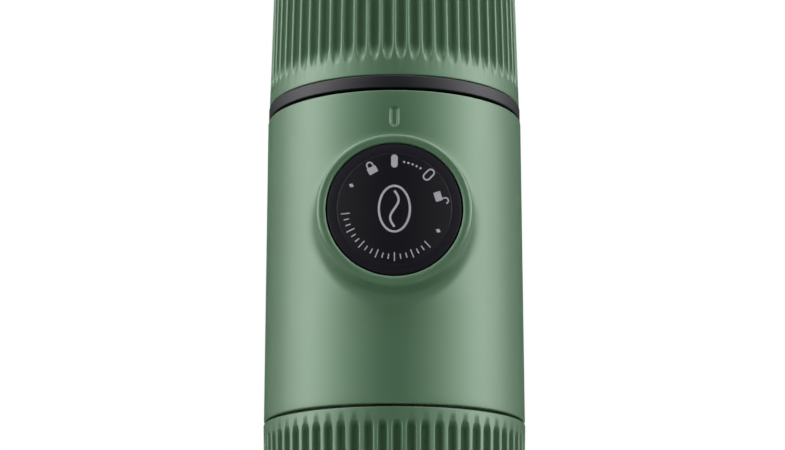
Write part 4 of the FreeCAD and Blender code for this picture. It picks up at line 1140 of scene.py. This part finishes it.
class KnobMarks:
    """Pale printed marks on the knob's face, all plain, in millimetres and clockwise degrees."""

    CIRCLE = 11.1
    INK_HEIGHT = 0.03
    INK_ROOT = 0.01
    FILLED_SLOT = (0.75, 0.78)
    OPEN_SLOT = (0.78, 0.62)
    OPEN_BEARING = 44.5
    OPEN_LINE = 0.36
    DOTS = 5
    DOT_RADIUS = 0.26
    DOT_FIRST = 11.4
    DOT_STEP = 5.2
    LOCKS = ((-29.0, 0.0), (74.0, 1.4))
    LOCK_CIRCLE = 10.8
    LOCK_LINE = 0.34
    LOCK_BODY = ((-0.95, -1.35), (0.95, -1.35), (1.1, -1.2), (1.1, 0.1), (0.95, 0.25), (-0.95, 0.25),
                 (-1.1, 0.1), (-1.1, -1.2))
    BOW_RADIUS = 0.68
    BOW_LOW = 0.25
    BOW_HIGH = 0.75
    DIAMONDS = (-61.0, 117.5)
    DIAMOND = ((0.0, 0.62), (-0.5, 0.0), (0.0, -0.62), (0.5, 0.0))
    TICKS = 19
    TICK_FIRST = 138.0
    TICK_STEP = 7.0
    TICK_HALF = 0.13
    TICK_LONG = 1.0
    TICK_SHORT = 0.6
    BEAN = (3.5, 5.3)
    BEAN_LINE = 0.5
    CREASE = (0.95, 4.2)
    CREASE_STEPS = 30

    def __init__(self, knob: KnobAssembly) -> None:
        """Args: knob: the knob they are printed on."""
        self.knob = knob
        self.pieces: list[Piece] = []

    def build(self, ink: Material) -> Piece:
        """Builds every mark. Args: ink: the finish. Returns one joined object."""
        self.ink = ink
        self._area(self._slot(*self.FILLED_SLOT), 0.0)
        self._line(self._slot(*self.OPEN_SLOT), self.OPEN_BEARING, self.OPEN_LINE, True)
        for k in range(self.DOTS):
            self._area(self._round(self.DOT_RADIUS), self.DOT_FIRST + self.DOT_STEP * k)
        for bearing, swing in self.LOCKS:
            self._padlock(bearing, swing)
        for bearing in self.DIAMONDS:
            self._area(self.DIAMOND, bearing)
        for k in range(self.TICKS):
            tall = self.TICK_SHORT if k % 3 else self.TICK_LONG
            half = self.TICK_HALF
            tick = [(-half, -tall), (half, -tall), (half, tall), (-half, tall)]
            self._area(tick, self.TICK_FIRST + self.TICK_STEP * k)
        self._bean()
        return MeshForge.join("knob_print", self.pieces)

    @staticmethod
    def _round(radius: float, count: int = 20) -> list[Point2]:
        """Outline of a dot. Returns its points."""
        return [(radius * math.cos(a), radius * math.sin(a)) for a in even_angles(count)]

    @staticmethod
    def _slot(half: float, straight: float, count: int = 14) -> list[Point2]:
        """Outline of an upright round-ended slot. Returns its points."""
        top = [(half * math.cos(math.pi * k / count), straight + half * math.sin(math.pi * k / count))
               for k in range(count + 1)]
        return top + [(-x, -y) for x, y in top]

    def _turned(self, points: Sequence[Point2], bearing: float, circle: float) -> list[Point2]:
        """Moves points to the mark circle at a clockwise bearing. Returns them."""
        angle = -math.radians(bearing)
        cosine, sine = math.cos(angle), math.sin(angle)
        return [(x * cosine - (y + circle) * sine, x * sine + (y + circle) * cosine) for x, y in points]

    def _film(self, flat: Sequence[Point2], faces: Rings) -> None:
        """Adds a thin closed film. Args: flat: its points. faces: its front faces, anticlockwise."""
        count = len(flat)
        depths = (-self.INK_HEIGHT, self.INK_ROOT)
        points = [self.knob.place(x, y, depth) for depth in depths for x, y in flat]
        backs = [tuple(count + i for i in reversed(face)) for face in faces]
        edges = {(face[k - 1], face[k]) for face in faces for k in range(len(face))}
        walls = [(b, a, count + a, count + b) for a, b in sorted(edges) if (b, a) not in edges]
        self.pieces.append(MeshForge.make("print", points, list(faces) + backs + walls, self.ink))

    def _area(self, outline: Sequence[Point2], bearing: float, circle: float = CIRCLE) -> None:
        """Prints a filled outline. Args: outline, bearing, circle: where it goes."""
        self._film(self._turned(outline, bearing, circle), [tuple(range(len(outline)))])

    def _line(self, path: Sequence[Point2], bearing: float, width: float, closed: bool,
              circle: float = CIRCLE) -> None:
        """Prints a line of even width along a path. Args: path, bearing, width, closed, circle."""
        spread = self._turned(path, bearing, circle)
        count = len(spread)
        inner, outer = [], []
        for k, point in enumerate(spread):
            before = Vector(spread[k - 1] if closed or k else point)
            after = Vector(spread[(k + 1) % count] if closed or k < count - 1 else point)
            along = (after - before).normalized()
            side = Vector((-along.y, along.x)) * (width / 2)
            inner.append(tuple(Vector(point) - side))
            outer.append(tuple(Vector(point) + side))
        cells = [(k, (k + 1) % count) for k in range(count if closed else count - 1)]
        self._film(inner + outer, [(a, b, count + b, count + a) for a, b in cells])

    def _padlock(self, bearing: float, swing: float) -> None:
        """Prints a small padlock. Args: bearing: its place. swing: how far its bow stands aside."""
        self._area(self.LOCK_BODY, bearing, self.LOCK_CIRCLE)
        reach = self.BOW_RADIUS
        bow = [(swing - reach, self.BOW_LOW)]
        for k in range(13):
            angle = math.pi * k / 12
            bow.append((swing - reach * math.cos(angle), self.BOW_HIGH + reach * math.sin(angle)))
        bow.append((swing + reach, self.BOW_HIGH if swing else self.BOW_LOW))
        self._line(bow, bearing, self.LOCK_LINE, False, self.LOCK_CIRCLE)

    def _bean(self) -> None:
        """Prints a plain coffee bean in the middle: an oval with a curved crease."""
        oval = [(self.BEAN[0] * math.cos(a), self.BEAN[1] * math.sin(a)) for a in even_angles(72)]
        self._line(oval, 0.0, self.BEAN_LINE, True, 0.0)
        shares = [-1 + 2 * k / self.CREASE_STEPS for k in range(self.CREASE_STEPS + 1)]
        crease = [(self.CREASE[0] * math.sin(math.pi * share), self.CREASE[1] * share) for share in shares]
        self._line(crease, 0.0, self.BEAN_LINE, False, 0.0)


@dataclass
class BrewHead:
    """Black brew head with its visible flange, threaded skirt, spigot and dome."""

    flange_radius: float = 30.7
    flange_low: float = 105.5
    flange_high: float = 108.5
    skirt_radius: float = 24.0
    bore: float = 19.9
    skirt_low: float = 98.0
    spigot: float = 28.06
    spigot_high: float = 111.2
    dome: float = 22.6
    dome_top: float = 116.4
    dome_under: float = 113.9
    dome_round: float = 2.5
    stem: float = 3.03
    groove_low: float = 109.0
    groove_high: float = 110.7
    groove_radius: float = 27.0
    ridge: float = 1.05
    lead: float = 12.0
    rise: float = 3.4
    ridge_level: float = 99.65

    def build(self, black: Material) -> None:
        """Builds the head. Args: black: its finish."""
        outline = Outline([
            (self.stem, self.dome_under), (self.bore, self.dome_under), (self.bore, self.skirt_low),
            (self.skirt_radius, self.skirt_low, 0.3), (self.skirt_radius, self.flange_low),
            (self.flange_radius, self.flange_low, 0.3), (self.flange_radius, self.flange_high, 0.3),
            (self.spigot, self.flange_high), (self.spigot, self.groove_low),
            (self.groove_radius, self.groove_low), (self.groove_radius, self.groove_high),
            (self.spigot, self.groove_high),
            (self.spigot, self.spigot_high, 0.25), (self.dome, self.spigot_high),
            (self.dome, self.dome_top, self.dome_round), (self.stem, self.dome_top)], 6).points()
        head = turned("brew_head", outline, black, even_angles(FINE_COLUMNS), True, 45.0)
        ridges = [helix_ridge(self.skirt_radius, self.lead, self.rise, self.ridge_level, start, self.ridge,
                              black) for start in (0.0, 120.0, 240.0)]
        seat(MeshForge.join("brew_head", [head] + ridges), Body.BREW_HEAD, "portafilter")


class InnerPieces:
    """Finishes of the construction nodes that keep their own shape."""

    def __init__(self) -> None:
        """Names the finish of each node."""
        self.groups: dict[object, tuple[str, ...]] = {
            FRAME_BLACK: ("brew_socket", "base_plate", "valve_block", "inlet_strainer"),
            HEAD_BLACK: ("nozzle",),
            SCOOP_BLACK: ("coffee_scoop", "piston_head"),
            GREY_PLASTIC: ("pump_cylinder",),
            WHITE_PLASTIC: ("rod_bush", "inlet_seat", "outlet_seat", "inlet_tube"),
            STEEL: ("knob_screw", "piston_rod", "spring_washer", "shower_screw", "socket_screws",
                    "base_screws", "pump_screws", "block_screws", "inlet_ball", "outlet_ball"),
            DRAWN_STEEL: ("filter_basket", "shower_screen"),
            WIRE_STEEL: ("return_spring", "inlet_spring", "outlet_spring"),
            BLACK_SILICONE: ("cup_grip_ring", "brew_gasket", "piston_seal", "cylinder_seal", "outlet_seal",
                             "tank_seal"),
            GREY_SILICONE: ("air_valve",)}

    def dress(self, finishes: "FinishShelf") -> None:
        """Dresses the nodes. Args: finishes: the shelf of built materials."""
        for finish, nodes in self.groups.items():
            for node in nodes:
                dress(node, finishes.take(finish))
                LOG.info("%s keeps its construction shape", node)


class FinishShelf:
    """Builds each finish once and hands it out."""

    def __init__(self) -> None:
        """Starts empty."""
        self.built: dict[str, Material] = {}

    def take(self, finish: "MouldedPlastic | BrushedSteel | SoftSilicone | PrintedInk") -> Material:
        """Returns a finish's material, building it if needed."""
        if finish.name not in self.built:
            self.built[finish.name] = finish.build()
        return self.built[finish.name]


@dataclass
class Studio:
    """Pale floor, soft lights and the camera at the photograph's angle, in metres, watts and degrees.

    Fields that need a word: glow, the side boxes' brightness by bearing from the front; top_from, top_slope
    and top_level, the height where the ceiling's light starts, its rise and its brightness; the sizes of the
    plinth and the floor are in millimetres.
    """

    lens_mm: float = 105.1
    sensor_mm: float = 36.0
    nearest: float = 0.02
    camera_y: float = -0.5409
    camera_z: float = -0.0503
    pitch_deg: float = 13.54
    shift_x: float = -0.00242
    aim: tuple[float, float, float] = (0.0, 0.0, 0.08)
    side_distance: float = 0.62
    side_width: float = 0.62
    side_height: float = 1.1
    side_power: float = 0.4
    top_spot: tuple[float, float, float] = (0.0, 0.1, 0.8)
    top_width: float = 0.7
    top_power: float = 2.0
    glow_power: float = 10.0
    fill_power: float = 0.42
    top_from: float = 0.5
    top_slope: float = 3.0
    top_level: float = 0.3
    plinth_radius: float = 160.0
    plinth_edge: float = 1.5
    floor_level: float = -150.0
    floor_radius: float = 3000.0
    glow: tuple[Point2, ...] = (
        (0.0, 0.006), (12.0, 0.045), (25.0, 0.15), (38.0, 0.29), (52.0, 0.5), (66.0, 0.78), (82.0, 0.92),
        (100.0, 0.45), (122.0, 0.07), (155.0, 0.003), (180.0, 0.0))

    def build(self) -> None:
        """Builds the stage."""
        self._camera()
        self._world()
        self._floor()
        self._lights()
        bpy.context.scene.view_settings.view_transform = "Standard"

    def _camera(self) -> None:
        """Adds the camera."""
        data = bpy.data.cameras.new("camera")
        data.lens = self.lens_mm
        data.sensor_width = self.sensor_mm
        data.shift_x = self.shift_x
        data.clip_start = self.nearest
        camera = bpy.data.objects.new("camera", data)
        camera.location = (0.0, self.camera_y, self.camera_z)
        camera.rotation_euler = (math.radians(90.0 + self.pitch_deg), 0.0, 0.0)
        bpy.context.scene.collection.objects.link(camera)
        bpy.context.scene.camera = camera

    def _world(self) -> None:
        """White backdrop for the camera, a soft grey room for the light."""
        world = bpy.data.worlds.new("studio")
        world.use_nodes = True
        bench = NodeBench(world.node_tree)
        looks = ((self._side_glow(bench), self.glow_power), (WHITE, self.fill_power), (WHITE, 1.0))
        boxes, fill, white = (bench.node("ShaderNodeBackground", {}, {0: colour, 1: power})
                              for colour, power in looks)
        path = bench.add("ShaderNodeLightPath", {}, {})
        glossy, seen = (Signal(bench, path.outputs[name]) for name in ("Is Glossy Ray", "Is Camera Ray"))
        lit = bench.node("ShaderNodeMixShader", {}, {0: glossy, 1: fill, 2: boxes})
        shown = bench.node("ShaderNodeMixShader", {}, {0: seen, 1: lit, 2: white})
        bench.add("ShaderNodeOutputWorld", {}, {0: shown})
        bpy.context.scene.world = world

    def _side_glow(self, bench: NodeBench) -> Signal:
        """Soft boxes on both sides as a glow by bearing from the front. Args: bench. Returns its colour."""
        x, y, z = bench.split(bench.node("ShaderNodeTexCoord", {}, {}, "Generated"))
        share = bench.maths("ARCTAN2", bench.maths("ABSOLUTE", x), y * -1.0) / math.pi
        made = bench.add("ShaderNodeValToRGB", {}, {0: share})
        ramp = made.color_ramp
        ramp.interpolation = "EASE"
        while len(ramp.elements) < len(self.glow):
            ramp.elements.new(0.5)
        for element, (bearing, level) in zip(ramp.elements, self.glow):
            element.position = bearing / 180.0
            element.color = (level, level, level, 1.0)
        above = bench.maths("MINIMUM", (z - self.top_from) * self.top_slope, 1.0)
        return bench.maths("MAXIMUM", Signal(bench, made.outputs[0]), above * self.top_level)

    def _floor(self) -> None:
        """A pale round plinth under the maker and a wide floor below the camera."""
        bench = MaterialBench("pale_floor")
        tone = bench.blended(bench.noise(40.0, 3.0), (0.78, 0.78, 0.77, 1.0), (0.82, 0.82, 0.81, 1.0))
        pale = bench.surface(Base_Color=tone, Roughness=0.6)
        wide, low = self.plinth_radius, self.floor_level
        outline = Outline([(0.0, 0.0), (wide, 0.0, self.plinth_edge), (wide, low), (0.0, low)]).points()
        plinth = turned("plinth", outline, pale, even_angles(96))
        wide = turned("wide_floor", [(0.0, low), (self.floor_radius, low)], pale, even_angles(64))

    def _light(self, name: str, spot: Sequence[float], width: float, height: float, power: float) -> None:
        """Adds one soft box. Args: name, spot, width and height in metres, power in watts."""
        data = bpy.data.lights.new(name, "AREA")
        data.shape = "RECTANGLE"
        data.size = width
        data.size_y = height
        data.energy = power
        lamp = bpy.data.objects.new(name, data)
        lamp.location = spot
        lamp.visible_glossy = False
        lamp.rotation_euler = (Vector(self.aim) - Vector(spot)).to_track_quat("-Z", "Y").to_euler()
        bpy.context.scene.collection.objects.link(lamp)

    def _lights(self) -> None:
        """Adds the soft boxes on both sides, behind and above."""
        for side in (-1, 1):
            spot = (side * self.side_distance, -0.3, 0.12)
            self._light(f"side_box_{side}", spot, self.side_width, self.side_height, self.side_power)
        self._light("top_box", self.top_spot, self.top_width, self.top_width, self.top_power)


def main() -> None:
    """Builds every piece in order, then the studio."""
    logging.basicConfig(level=logging.INFO, format="%(name)s: %(message)s")
    finishes = FinishShelf()
    flute_tree = FluteTree()
    CupAssembly().build(flute_tree, finishes.take(CUP_GREEN))
    TankAssembly().build(flute_tree, finishes.take(TANK_GREEN))
    BodyShell().build(finishes.take(SHELL_GREEN))
    KnobAssembly().build(finishes.take(KNOB_BLACK), finishes.take(FACE_BLACK), finishes.take(PALE_INK))
    BrewHead().build(finishes.take(HEAD_BLACK))
    InnerPieces().dress(finishes)
    Studio().build()


if __name__ == "__main__":
    main()
